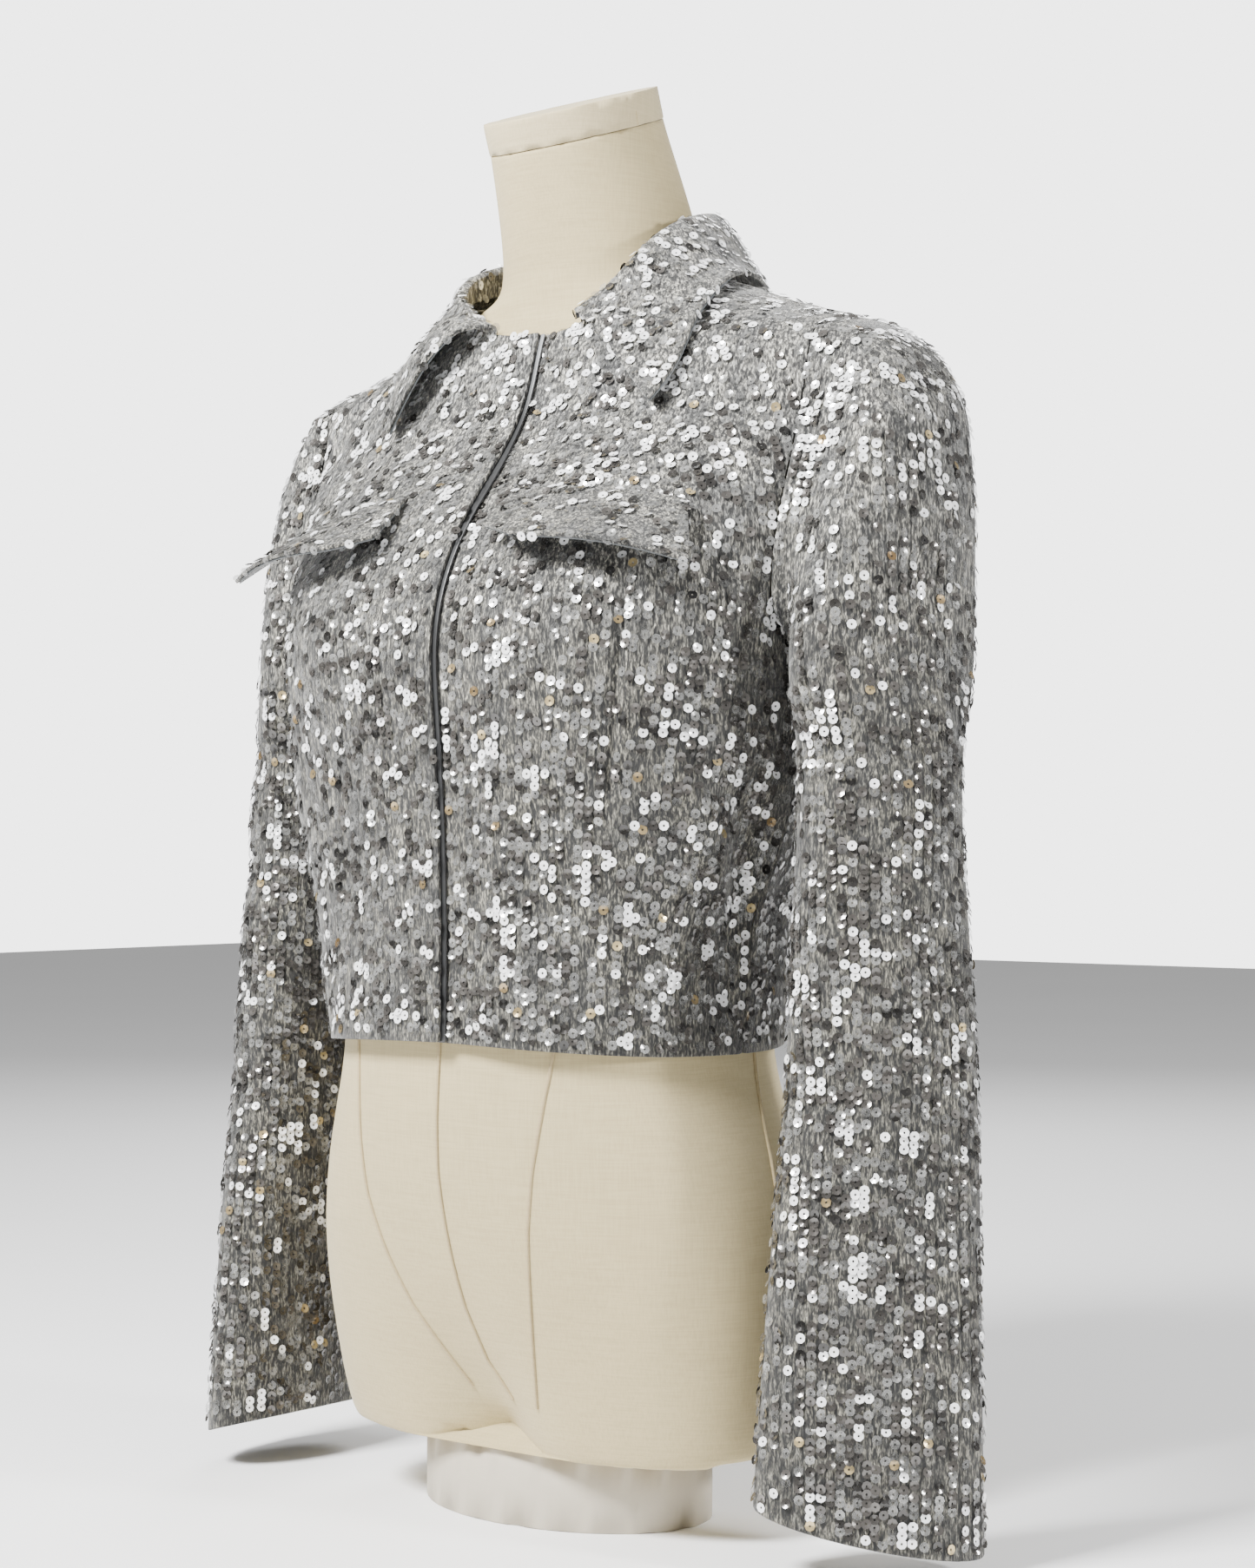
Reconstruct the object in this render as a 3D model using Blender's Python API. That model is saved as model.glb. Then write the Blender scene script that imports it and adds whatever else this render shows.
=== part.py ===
"""Sequin jacket on a limbless dress form, as solids at real size.

Metres, +Z up, the wearer's left towards +X and the front towards -Y. The origin
is on the underside of the low base that carries the form, in the jacket's middle
plane and BASE_CENTRE_Y in front of the base's own middle.
"""

import math

import bmesh
import bpy
import numpy as np

# Cloth and seams
CLOTH = 0.0020            # wall of the sequinned cloth
SATIN = 0.0010            # wall of the satin facings
SEAM = 0.0003             # air between two pieces at a seam
FLAT_SEAM = SEAM / 2      # each piece's share of that air

# Heights of the jacket
HEM_SIDE = 0.2505         # hem at the side seams
HEM_RISE = 0.0065         # how much higher it hangs at the front and back centre
UNDERARM = 0.455
NECK_FRONT = 0.631
NECK_BACK = 0.682
NECK_HALF = 0.066         # half-width of the neckline at the shoulder seam
SHOULDER_SEAM = 0.167     # x of the armhole's top

# The two fronts lap at the centre
RIGHT_EDGE = 0.008        # the upper front's edge lies this far past the centre
LEFT_UNDERLAP = 0.022     # the lower front's edge lies this far past it, hidden
LAP_DEPTH = 0.0044        # how far the lower front is set back under the upper one
LAP_BLEND = (0.018, 0.055)

# Rows and columns of the panels' grids
ROWS_BELOW = 9
ROWS_ABOVE = 10
FRONT_COLUMNS = 13
BACK_HALF_COLUMNS = 11

# The body's outer sections, hem to neck, on a general figure:
# height, half width, y of the front, of the back, of the side seam, squareness
BODY_COLUMNS = ("z", "half_width", "front", "back", "side", "power")
BODY = (
    (0.240, 0.1235, -0.1040, 0.1040, 0.001, 2.40),
    (0.304, 0.1285, -0.1030, 0.1020, 0.001, 2.45),
    (0.357, 0.1470, -0.1040, 0.1070, 0.002, 2.45),
    (0.409, 0.1590, -0.1075, 0.1160, 0.006, 2.40),
    (0.463, 0.1640, -0.1115, 0.1230, 0.011, 2.35),
    (0.515, 0.1730, -0.0940, 0.1280, 0.018, 2.30),
    (0.549, 0.1820, -0.0680, 0.1290, 0.024, 2.20),
    (0.585, 0.1960, -0.0400, 0.1260, 0.030, 2.05),
    (0.609, 0.2060, -0.0310, 0.1220, 0.033, 1.90),
    (0.622, 0.2080, -0.0275, 0.1190, 0.034, 1.75),
    (0.632, 0.1670, -0.0240, 0.1160, 0.035, 1.65),
    (0.644, 0.1280, -0.0215, 0.1130, 0.037, 1.65),
    (0.653, 0.1060, -0.0200, 0.1110, 0.038, 1.75),
    (0.669, 0.0660, -0.0180, 0.1070, 0.041, 1.90),
    (0.690, 0.0600, -0.0150, 0.1030, 0.043, 2.00),
)

# The right shoulder slopes more than the left one: its top lies this much lower,
# over these spans of distance from the centre and of height
RIGHT_DROP = {"depth": 0.010, "x": (0.045, 0.150), "z": (0.470, 0.625)}

# The armhole in front view: height and x of the seam
ARMHOLE_COLUMNS = ("z", "x")
ARMHOLE = (
    (0.455, 0.1637),
    (0.470, 0.1610),
    (0.500, 0.1625),
    (0.550, 0.1665),
    (0.600, 0.1675),
    (0.632, 0.1670),
)

# Soft shape worked into the fronts: fullness over the bust dart, and the trough
# that runs down behind the front's outer fold
BUST = {"x": 0.088, "z": 0.468, "wide": 0.036, "tall": 0.046, "depth": 0.006}
SIDE_FOLD = {"z": 0.345, "tall": 0.075, "ratio": 0.975, "wide": 0.030, "depth": 0.006}

# Sleeves below the crown, given for the left one: height, centre, half-widths of
# the long and the short way across, and the long way's turn from front-to-back
SLEEVE_COLUMNS = ("z", "x", "y", "wide", "thin", "turn")
SLEEVE_LEFT = (
    (0.440, 0.2010, 0.014, 0.0560, 0.0290, 18.0),
    (0.390, 0.2025, 0.010, 0.0430, 0.0360, 22.0),
    (0.325, 0.2040, 0.008, 0.0470, 0.0330, 30.0),
    (0.250, 0.2070, 0.005, 0.0490, 0.0310, 40.0),
    (0.154, 0.2090, -0.003, 0.0530, 0.0285, 46.0),
    (0.062, 0.2105, -0.010, 0.0560, 0.0265, 50.0),
    (0.006, 0.2110, -0.013, 0.0580, 0.0255, 51.0),
)
SLEEVE_RIGHT = (
    (0.440, 0.1955, 0.022, 0.0560, 0.0280, 12.0),
    (0.390, 0.1990, 0.020, 0.0430, 0.0355, 8.0),
    (0.325, 0.2020, 0.018, 0.0470, 0.0330, 4.0),
    (0.250, 0.2065, 0.015, 0.0490, 0.0310, 2.0),
    (0.154, 0.2080, 0.010, 0.0520, 0.0290, 0.0),
    (0.062, 0.2100, 0.006, 0.0550, 0.0280, 0.0),
    (0.008, 0.2105, 0.004, 0.0570, 0.0275, 0.0),
)
CROWN_RINGS = 7           # rings from the armhole to the first row above
ARM_RINGS = 12            # rings below it
CUFF_BACK_DROP = 0.030    # the cuff hangs lower at its outer back than inside
# How strongly each crown runs outwards from the armhole, and then falls
CROWN_REACH = {1: 0.220, -1: 0.135}
CROWN_FALL = {1: 0.450, -1: 0.360}
ROW_CROWDING = 1.5        # the panels' rows crowd towards the shoulder by this power

# Collar, given for the left half, centre back to front edge. At each station: the
# turn round the neckline, the stand's height and lean, and the fall's outer edge
COLLAR_COLUMNS = ("turn", "stand", "lean", "edge_x", "edge_y", "edge_z")
COLLAR = (
    (0.0, 0.0240, 0.0000, 0.0000, 0.1330, 0.6620),
    (32.0, 0.0240, -0.0005, 0.0490, 0.1240, 0.6610),
    (62.0, 0.0250, -0.0015, 0.0930, 0.0870, 0.6610),
    (90.0, 0.0240, -0.0015, 0.1120, 0.0380, 0.6590),
    (118.0, 0.0150, 0.0000, 0.1140, 0.0000, 0.6350),
    (138.0, 0.0080, 0.0010, 0.1080, -0.0270, 0.6080),
    (153.0, 0.0045, 0.0015, 0.0980, -0.0450, 0.5850),
)
NECK_MIDDLE_Y = 0.041     # middle of the neckline, which the collar turns round
FOLD_WIDE = 0.0058        # from the stand's neck side to the fall's outer side
COLLAR_STATIONS = 11      # stations on each half
COLLAR_ROWS = 8
LEAF_CLEAR = 0.0062       # the fall's outer face above the cloth that it lies on
COLLAR_END = {1: 152.0, -1: 161.0}   # turn at which each half ends in front
STAND_BEND = 0.55         # share of the stand's height at which its lean starts
FALL_SWELL = 0.08         # how far the fall swells over its straight line
# Over each shoulder the fall's edge lies nearer the middle by this much, and the
# right half is lower: the share its stand loses, and how far its edge comes down
SIDE_IN = {1: 0.012, -1: 0.025}
SIDE_STAND_LOSS = {1: 0.0, -1: 0.35}
SIDE_EDGE_DROP = {1: 0.0, -1: 0.012}
SIDE_SPAN = (0.3, 2.0, 3.6, 5.5)     # stations where this starts, is full and ends
LEAF_IN_RIGHT = 0.014     # the right leaf's tip lies this much nearer the centre
LEAF_LIFT_RIGHT = 0.014   # the right leaf's front stands up by this much
LEAF_LIFT_WAY = (0.0, -0.35, 0.80)
UNDERSIDE_FROM = 0.45     # the satin underside runs from here to the leaf's front

# Pocket flaps: the sewn edge, the length and the tilt away from the cloth
FLAP_INNER = 0.039
FLAP_OUTER = 0.132
FLAP_TOP = 0.539
FLAP_RUN = 0.042
FLAP_DROP_OUT = 0.010     # the sewn edge sinks this much towards the side
FLAP_TILT = {"left": 13.0, "right": 10.0}
FLAP_TILT_OUTER = {"left": 6.0, "right": 22.0}
FLAP_DROOP = 0.10         # how far its free edge droops, by its length
FLAP_SPREAD = 0.004       # how much further each end reaches at the free edge
LINING_IN = 0.10          # how far the lining stops short at the ends, by a column
LINING_HEM = 0.06         # and at the free edge, by a row
FLAP_INNER_CORNER = 0.30  # how much shorter the flap is at its eased inner end
FLAP_AIR = 0.0010         # air under the sewn edge's two layers, over the bust's swell
FLAP_COLUMNS = 9
FLAP_ROWS = 4

# Satin strip along the right front's edge
FACING_UNDER = 0.009      # width hidden under the cloth
FACING_SHOWS = 0.0026     # width that shows past it
FACING_BULGE = {"z": 0.545, "tall": 0.018, "wide": 0.0026}

# Dress form. Under the jacket it follows the jacket's own sections, with this
# much air and wall taken off at the side, the front and the back
EASE_COLUMNS = ("z", "side", "front", "back")
EASE = (
    (0.240, 0.0046, 0.0104, 0.0080),
    (0.357, 0.0100, 0.0110, 0.0080),
    (0.463, 0.0120, 0.0110, 0.0075),
    (0.549, 0.0110, 0.0110, 0.0085),
    (0.609, 0.0060, 0.0100, 0.0085),
    (0.640, 0.0000, 0.0110, 0.0080),
    (0.690, 0.0000, 0.0110, 0.0080),
)
SHOULDER_DROP = 0.0043    # the form's shoulder under the jacket's outer face
ARM_PLATE = 0.1570        # half-width of the form at its closed armholes
PLATE_ROUND = 0.010

# Below the hem and up the neck: height, half width, front, back, side,
# squareness, how far the centre front and back are drawn in, and the tilt
FORM_COLUMNS = ("z", "half_width", "front", "back", "side", "power", "cleft", "tilt")
FORM_BELOW = (
    (0.0400, 0.1340, -0.0560, 0.0780, 0.010, 2.60, 0.0300, 0.0),
    (0.0440, 0.1385, -0.0590, 0.0840, 0.010, 2.50, 0.0280, 0.0),
    (0.0620, 0.1430, -0.0640, 0.0920, 0.009, 2.45, 0.0220, 0.0),
    (0.0860, 0.1465, -0.0700, 0.0990, 0.008, 2.40, 0.0110, 0.0),
    (0.1160, 0.1485, -0.0790, 0.1050, 0.007, 2.35, 0.0030, 0.0),
    (0.1500, 0.1470, -0.0885, 0.1070, 0.006, 2.30, 0.0000, 0.0),
    (0.1850, 0.1400, -0.0930, 0.1040, 0.005, 2.30, 0.0000, 0.0),
    (0.2150, 0.1300, -0.0940, 0.0990, 0.003, 2.35, 0.0000, 0.0),
)
FORM_JACKET_LEVELS = (0.246, 0.275, 0.304, 0.330, 0.357, 0.383, 0.409, 0.436, 0.463,
                      0.489, 0.515, 0.535, 0.555, 0.575, 0.592, 0.606, 0.617, 0.626,
                      0.634, 0.642, 0.650)
FORM_NECK = (
    (0.6590, 0.0640, -0.0100, 0.0980, 0.042, 2.00, 0.0, 2.0),
    (0.6690, 0.0585, -0.0105, 0.0970, 0.042, 2.00, 0.0, 3.0),
    (0.6850, 0.0550, -0.0140, 0.0940, 0.040, 2.00, 0.0, 7.0),
    (0.7100, 0.0510, -0.0200, 0.0830, 0.031, 2.00, 0.0, 14.0),
    (0.7350, 0.0475, -0.0270, 0.0700, 0.021, 2.00, 0.0, 19.0),
    (0.7440, 0.0470, -0.0295, 0.0660, 0.018, 2.00, 0.0, 19.5),
)
FORM_SIDES = 36
CLEFT_WIDE = 0.024        # half-width of the groove between the thighs
CLEFT_RISE = 0.020        # height of the arch between them

CAP_THICK = 0.0172
CAP_MARGIN = 0.0004       # the cap stands out past the neck by this much
CAP_BEVEL = 0.0016

BASE_HALF_X = 0.088
BASE_HALF_Y = 0.060
BASE_CENTRE_Y = 0.010
BASE_SIDES = 40

# Colours (linear), roughness, metallic
SEQUIN_CLOTH = ((0.36, 0.36, 0.35), 0.45, 0.15)
SATIN_GREY = ((0.27, 0.27, 0.28), 0.35, 0.0)
LINEN = ((0.62, 0.57, 0.47), 0.85, 0.0)
CAP_LINEN = ((0.66, 0.62, 0.52), 0.80, 0.0)
PALE_WOOD = ((0.68, 0.64, 0.57), 0.60, 0.0)


def column(rows, names, name, at, key="z"):
    """Value of one named column at a place between the rows, on a smooth curve."""
    xs = np.array([row[names.index(key)] for row in rows], float)
    ys = np.array([row[names.index(name)] for row in rows], float)
    if xs[0] > xs[-1]:
        xs, ys = xs[::-1], ys[::-1]
    slope = np.diff(ys) / np.diff(xs)
    tangent = np.concatenate(([slope[0]], np.zeros(len(xs) - 2), [slope[-1]]))
    for i in range(1, len(xs) - 1):
        before, after = slope[i - 1], slope[i]
        if before * after > 0:
            tangent[i] = 2 * before * after / (before + after)
    at = min(max(at, xs[0]), xs[-1])
    i = min(int(np.searchsorted(xs, at, side="right")) - 1, len(xs) - 2)
    run = xs[i + 1] - xs[i]
    t = (at - xs[i]) / run
    return float((2 * t**3 - 3 * t**2 + 1) * ys[i] + (t**3 - 2 * t**2 + t) * run * tangent[i]
                 + (3 * t**2 - 2 * t**3) * ys[i + 1] + (t**3 - t**2) * run * tangent[i + 1])


def body(name, z):
    """One size of the jacket's body at a height."""
    return column(BODY, BODY_COLUMNS, name, z)


def smoothstep(low, high, value):
    """0 below low, 1 above high, and an even S between."""
    t = min(max((value - low) / (high - low), 0.0), 1.0)
    return t * t * (3 - 2 * t)


def bell(value, middle, spread):
    """A soft hump of height 1."""
    return math.exp(-((value - middle) / spread) ** 2)


def shoulder_height(x):
    """Height of the shoulder line at a distance from the centre."""
    heights = np.linspace(0.622, 0.690, 240)
    widths = [body("half_width", z) for z in heights]
    return float(np.interp(-abs(x), [-w for w in widths], heights))


def top_height(x, face):
    """Height of the neckline, or of the shoulder seam beside it."""
    if abs(x) >= NECK_HALF:
        return shoulder_height(x)
    middle = NECK_FRONT if face == "front" else NECK_BACK
    side = shoulder_height(NECK_HALF)
    return side + (middle - side) * math.sqrt(1 - (x / NECK_HALF) ** 2)


def hem_height(ratio):
    """Height of the hem at a share of the half-width."""
    return HEM_SIDE + HEM_RISE * (1 - ratio**2)


def surface(x, z, face):
    """Point of the body's outer face in front view, with its depth worked out."""
    half_width = body("half_width", z)
    side = body("side", z)
    depth = side - body("front", z) if face == "front" else body("back", z) - side
    power = body("power", z)
    ratio = min(abs(x) / half_width, 1.0)
    reach = depth * (1 - ratio**power) ** (1 / power)
    if face == "front":
        reach += BUST["depth"] * bell(abs(x), BUST["x"], BUST["wide"]) * bell(
            z, BUST["z"], BUST["tall"])
        return np.array([x, side - reach, z])
    return np.array([x, side + reach, z])


def side_x(z):
    """Where the side seam, or the armhole's seam above it, lies in front view."""
    if z <= UNDERARM:
        return body("half_width", z)
    if z >= shoulder_height(SHOULDER_SEAM):
        return SHOULDER_SEAM
    return min(column(ARMHOLE, ARMHOLE_COLUMNS, "x", z), body("half_width", z))


def row_shares():
    """Share of the way from the hem to the top for each row of the panels."""
    shoulder = shoulder_height(SHOULDER_SEAM)
    at_underarm = (UNDERARM - HEM_SIDE) / (shoulder - HEM_SIDE)
    below = np.linspace(0, at_underarm, ROWS_BELOW + 1)
    above = 1 - (1 - at_underarm) * np.linspace(1, 0, ROWS_ABOVE + 1) ** ROW_CROWDING
    return np.concatenate((below, above[1:]))


def panel(face, start, columns):
    """Grid of a panel's outer face from the centre edge to the left side.

    Rows run from the hem to the neckline and shoulder, columns from the x of
    the centre edge to the side seam and the armhole.
    """
    shares = row_shares()
    grid = np.zeros((len(shares), columns + 1, 3))
    for r, share in enumerate(shares):
        evenness = smoothstep(0.15, 1.0, share)
        for c in range(columns + 1):
            even = c / columns
            crowded = math.sin(0.5 * math.pi * even) ** (2 / 2.3)
            part = crowded + (even - crowded) * evenness
            top_x = start + (SHOULDER_SEAM - start) * even
            low = hem_height(part)
            z = low + (top_height(top_x, face) - low) * share
            if c == columns:
                z = HEM_SIDE + (shoulder_height(SHOULDER_SEAM) - HEM_SIDE) * share
            edge = side_x(z)
            if share == 1.0:
                x = top_x
            else:
                x = start + (edge - start) * part
            point = surface(x, z, face)
            if c == columns and z <= UNDERARM + 1e-6:
                point = np.array([body("half_width", z), body("side", z), z])
            grid[r, c] = point
    return grid


def side_fold(grid):
    """Press the trough behind the front's outer fold into a front's grid."""
    normals = face_normals(grid)
    for r in range(grid.shape[0]):
        for c in range(grid.shape[1] - 1):
            x, _, z = grid[r, c]
            ratio = abs(x) / body("half_width", z)
            press = SIDE_FOLD["depth"] * bell(z, SIDE_FOLD["z"], SIDE_FOLD["tall"])
            press *= bell(ratio, SIDE_FOLD["ratio"], SIDE_FOLD["wide"])
            grid[r, c] -= normals[r, c] * press
    return grid


def mirrored(grid):
    """The same grid on the other side, with its columns the other way round."""
    other = grid[:, ::-1].copy()
    other[:, :, 0] *= -1
    return other


def face_normals(grid, wrap=False):
    """Outward direction at each point of a grid of rows going up.

    The columns run from the wearer's right to the left on the front.
    """
    if wrap:
        padded = np.concatenate((grid[:, -1:], grid, grid[:, :1]), axis=1)
        across = np.gradient(padded, axis=1)[:, 1:-1]
    else:
        across = np.gradient(grid, axis=1)
    up = np.gradient(grid, axis=0)
    normals = np.cross(across, up)
    lengths = np.linalg.norm(normals, axis=2, keepdims=True)
    return normals / np.maximum(lengths, 1e-12)


def flatten_seam(normals, rows, columns):
    """Keep the wall's thickness in the seam's plane, clear of the next piece."""
    part = normals[rows, columns]
    part[..., 1] = 0
    normals[rows, columns] = part / np.linalg.norm(part, axis=-1, keepdims=True)


def shoulder_columns(grid):
    """Columns whose top point lies on the shoulder seam."""
    return np.where(np.abs(grid[-1, :, 0]) >= NECK_HALF - 1e-6)[0]


def material(name, finish):
    """Principled material of a colour, a roughness and a metallic value."""
    colour, roughness, metallic = finish
    made = bpy.data.materials.new(name)
    made.use_nodes = True
    shader = made.node_tree.nodes["Principled BSDF"]
    shader.inputs["Base Color"].default_value = (*colour, 1)
    shader.inputs["Roughness"].default_value = roughness
    shader.inputs["Metallic"].default_value = metallic
    made.diffuse_color = (*colour, 1)
    return made


def lower_right_shoulder(mesh):
    """Bring the right shoulder down, with all that lies on and under it."""
    for vert in mesh.verts:
        across = smoothstep(*RIGHT_DROP["x"], -vert.co.x)
        vert.co.z -= RIGHT_DROP["depth"] * across * smoothstep(*RIGHT_DROP["z"], vert.co.z)


def add_object(name, mesh, finish):
    """Put a bmesh into the scene as one named object with its own material."""
    lower_right_shoulder(mesh)
    bmesh.ops.recalc_face_normals(mesh, faces=mesh.faces)
    data = bpy.data.meshes.new(name)
    mesh.to_mesh(data)
    mesh.free()
    data.shade_smooth()
    data.set_sharp_from_angle(angle=math.radians(40))
    data.materials.append(material(name + "_finish", finish))
    made = bpy.data.objects.new(name, data)
    bpy.context.scene.collection.objects.link(made)
    return made


def add_wall(name, outer, inner, finish, wrap=False):
    """Closed wall between two grids of the same shape, open or all round."""
    rows, columns = outer.shape[:2]
    mesh = bmesh.new()
    skins = [[[mesh.verts.new(grid[r, c]) for c in range(columns)] for r in range(rows)]
             for grid in (outer, inner)]
    last = columns if wrap else columns - 1
    for r in range(rows - 1):
        for c in range(last):
            d = (c + 1) % columns
            out, back = skins
            mesh.faces.new((out[r][c], out[r][d], out[r + 1][d], out[r + 1][c]))
            mesh.faces.new((back[r][c], back[r + 1][c], back[r + 1][d], back[r][d]))
    for r in (0, rows - 1):
        for c in range(last):
            d = (c + 1) % columns
            mesh.faces.new((skins[0][r][c], skins[0][r][d], skins[1][r][d], skins[1][r][c]))
    if not wrap:
        for c in (0, columns - 1):
            for r in range(rows - 1):
                mesh.faces.new((skins[0][r][c], skins[0][r + 1][c],
                                skins[1][r + 1][c], skins[1][r][c]))
    return add_object(name, mesh, finish)


def add_panel(name, grid, face):
    """Wall of a front or back from its outer grid, parted from its neighbours."""
    normals = face_normals(grid)
    if face == "back":
        normals = -normals
    shift = -FLAT_SEAM if face == "front" else FLAT_SEAM
    seams = [c for c in (0, grid.shape[1] - 1)
             if abs(abs(grid[0, c, 0]) - body("half_width", grid[0, c, 2])) < 1e-4]
    for c in seams:
        rows = slice(0, ROWS_BELOW + 1)
        flatten_seam(normals, rows, c)
        grid[rows, c, 1] += shift
    shoulder = shoulder_columns(grid)
    flatten_seam(normals, -1, shoulder)
    grid[-1, shoulder, 1] += shift
    add_wall(name, grid, grid - normals * CLOTH, SEQUIN_CLOTH)
    return normals


def build_body():
    """Back and the two lapped fronts. Gives their outer grids and normals."""
    half_back = panel("back", 0.0, BACK_HALF_COLUMNS)
    back = np.concatenate((mirrored(half_back), half_back[:, 1:]), axis=1)

    left = side_fold(panel("front", -LEFT_UNDERLAP, FRONT_COLUMNS))
    normals = face_normals(left)
    for r in range(left.shape[0]):
        for c in range(left.shape[1]):
            inset = LAP_DEPTH * (1 - smoothstep(*LAP_BLEND, left[r, c, 0]))
            left[r, c] -= normals[r, c] * inset
    right = mirrored(side_fold(panel("front", -RIGHT_EDGE, FRONT_COLUMNS)))

    grids = {"back": back, "front_left": left, "front_right": right}
    normals = {}
    for name, grid in grids.items():
        normals[name] = add_panel(name, grid, "back" if name == "back" else "front")
    return grids, normals


def armhole(grids, normals, hand):
    """Points of the armhole's seam, underarm first, then up the front, with the
    body's outward direction at each.
    """
    front_column, back_column = (-1, -1) if hand > 0 else (0, 0)
    front_name = "front_left" if hand > 0 else "front_right"
    fronts, backs = grids[front_name][:, front_column], grids["back"][:, back_column]
    front_out = normals[front_name][:, front_column]
    back_out = normals["back"][:, back_column]
    last = len(fronts) - 1
    points = [(fronts[ROWS_BELOW] + backs[ROWS_BELOW]) / 2]
    outward = [front_out[ROWS_BELOW]]
    for r in range(ROWS_BELOW + 1, last):
        points.append(fronts[r])
        outward.append(front_out[r])
    points.append((fronts[last] + backs[last]) / 2)
    outward.append(np.array([0.0, 0.0, 1.0]))
    for r in range(last - 1, ROWS_BELOW, -1):
        points.append(backs[r])
        outward.append(back_out[r])
    return np.array(points), np.array(outward)


def sleeve_ring(rows, hand, z, angles):
    """Outer ring of a sleeve at a height, at the given angles around it."""
    x, y, wide, thin, turn = (column(rows, SLEEVE_COLUMNS, name, z)
                              for name in SLEEVE_COLUMNS[1:])
    turn = math.radians(turn)
    ring = []
    for angle in angles:
        along, across = -wide * math.sin(angle), -thin * math.cos(angle)
        px = x + along * math.sin(turn) + across * math.cos(turn)
        py = y + along * math.cos(turn) - across * math.sin(turn)
        low = smoothstep(0.25, 0.0, z)
        drop = CUFF_BACK_DROP * low * (0.5 + (px - x) / (2 * wide))
        ring.append((px * hand, py, z + CUFF_BACK_DROP * low - drop))
    return np.array(ring)


def sleeve_grid(grids, normals, hand):
    """Outer grid of a sleeve, its rings from the armhole down to the cuff."""
    rows = SLEEVE_LEFT if hand > 0 else SLEEVE_RIGHT
    seam, outward = armhole(grids, normals, hand)
    count = len(seam)
    angles = np.arange(count) * 2 * math.pi / count
    first = sleeve_ring(rows, hand, rows[0][0], angles)
    rings = []
    for step in range(CROWN_RINGS + 1):
        t = step / CROWN_RINGS
        ring = []
        for i in range(count):
            upper = 0.5 - 0.5 * math.cos(angles[i])
            run = np.array([hand * (0.12 + 0.88 * upper), 0.0, -(1 - upper) ** 2])
            run /= np.linalg.norm(run)
            start = seam[i] + SEAM * outward[i] + 1.6 * SEAM * run
            reach = np.linalg.norm(first[i] - start)
            leave = run * min(CROWN_REACH[hand] * (0.2 + 0.8 * upper), 1.1 * reach)
            arrive = np.array([0, 0, -1]) * min(CROWN_FALL[hand] * upper + 0.01, 1.3 * reach)
            point = ((2 * t**3 - 3 * t**2 + 1) * start + (t**3 - 2 * t**2 + t) * leave
                     + (3 * t**2 - 2 * t**3) * first[i] + (t**3 - t**2) * arrive)
            ring.append(point)
        rings.append(ring)
    for z in np.linspace(rows[0][0], rows[-1][0], ARM_RINGS + 1)[1:]:
        rings.append(sleeve_ring(rows, hand, z, angles))
    return np.array(rings)


def build_sleeve(name, grids, normals, hand):
    """Set-in sleeve: an open tube from the armhole to the cuff."""
    grid = sleeve_grid(grids, normals, hand)
    out = face_normals(grid, wrap=True)
    centre = grid.mean(axis=1, keepdims=True)
    if np.sum((grid - centre) * out) < 0:
        out = -out
    add_wall(name, grid, grid - out * CLOTH, SEQUIN_CLOTH, wrap=True)


def off_body(point, clear):
    """Move a point straight out of the body until it is this far above it."""
    def level(p):
        half_width, side = body("half_width", p[2]), body("side", p[2])
        depth = side - body("front", p[2]) if p[1] < side else body("back", p[2]) - side
        power = body("power", p[2])
        ratio = (abs(p[0]) / half_width) ** power + (abs(p[1] - side) / depth) ** power
        return ratio ** (1 / power) - 1

    point = np.array(point, float)
    for _ in range(12):
        step = 1e-4
        slope = np.array([(level(point + d) - level(point - d)) / (2 * step)
                          for d in np.eye(3) * step])
        size = np.linalg.norm(slope)
        distance = level(point) / size
        if distance >= clear - 1e-5:
            break
        point += slope / size * (clear - distance)
    return point


def neckline(turn):
    """Point of the body's neckline, turning from the centre back to the front."""
    x = NECK_HALF * math.sin(turn)
    face = "back" if math.cos(turn) > 0 else "front"
    return surface(x, top_height(x, face), face)


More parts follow.
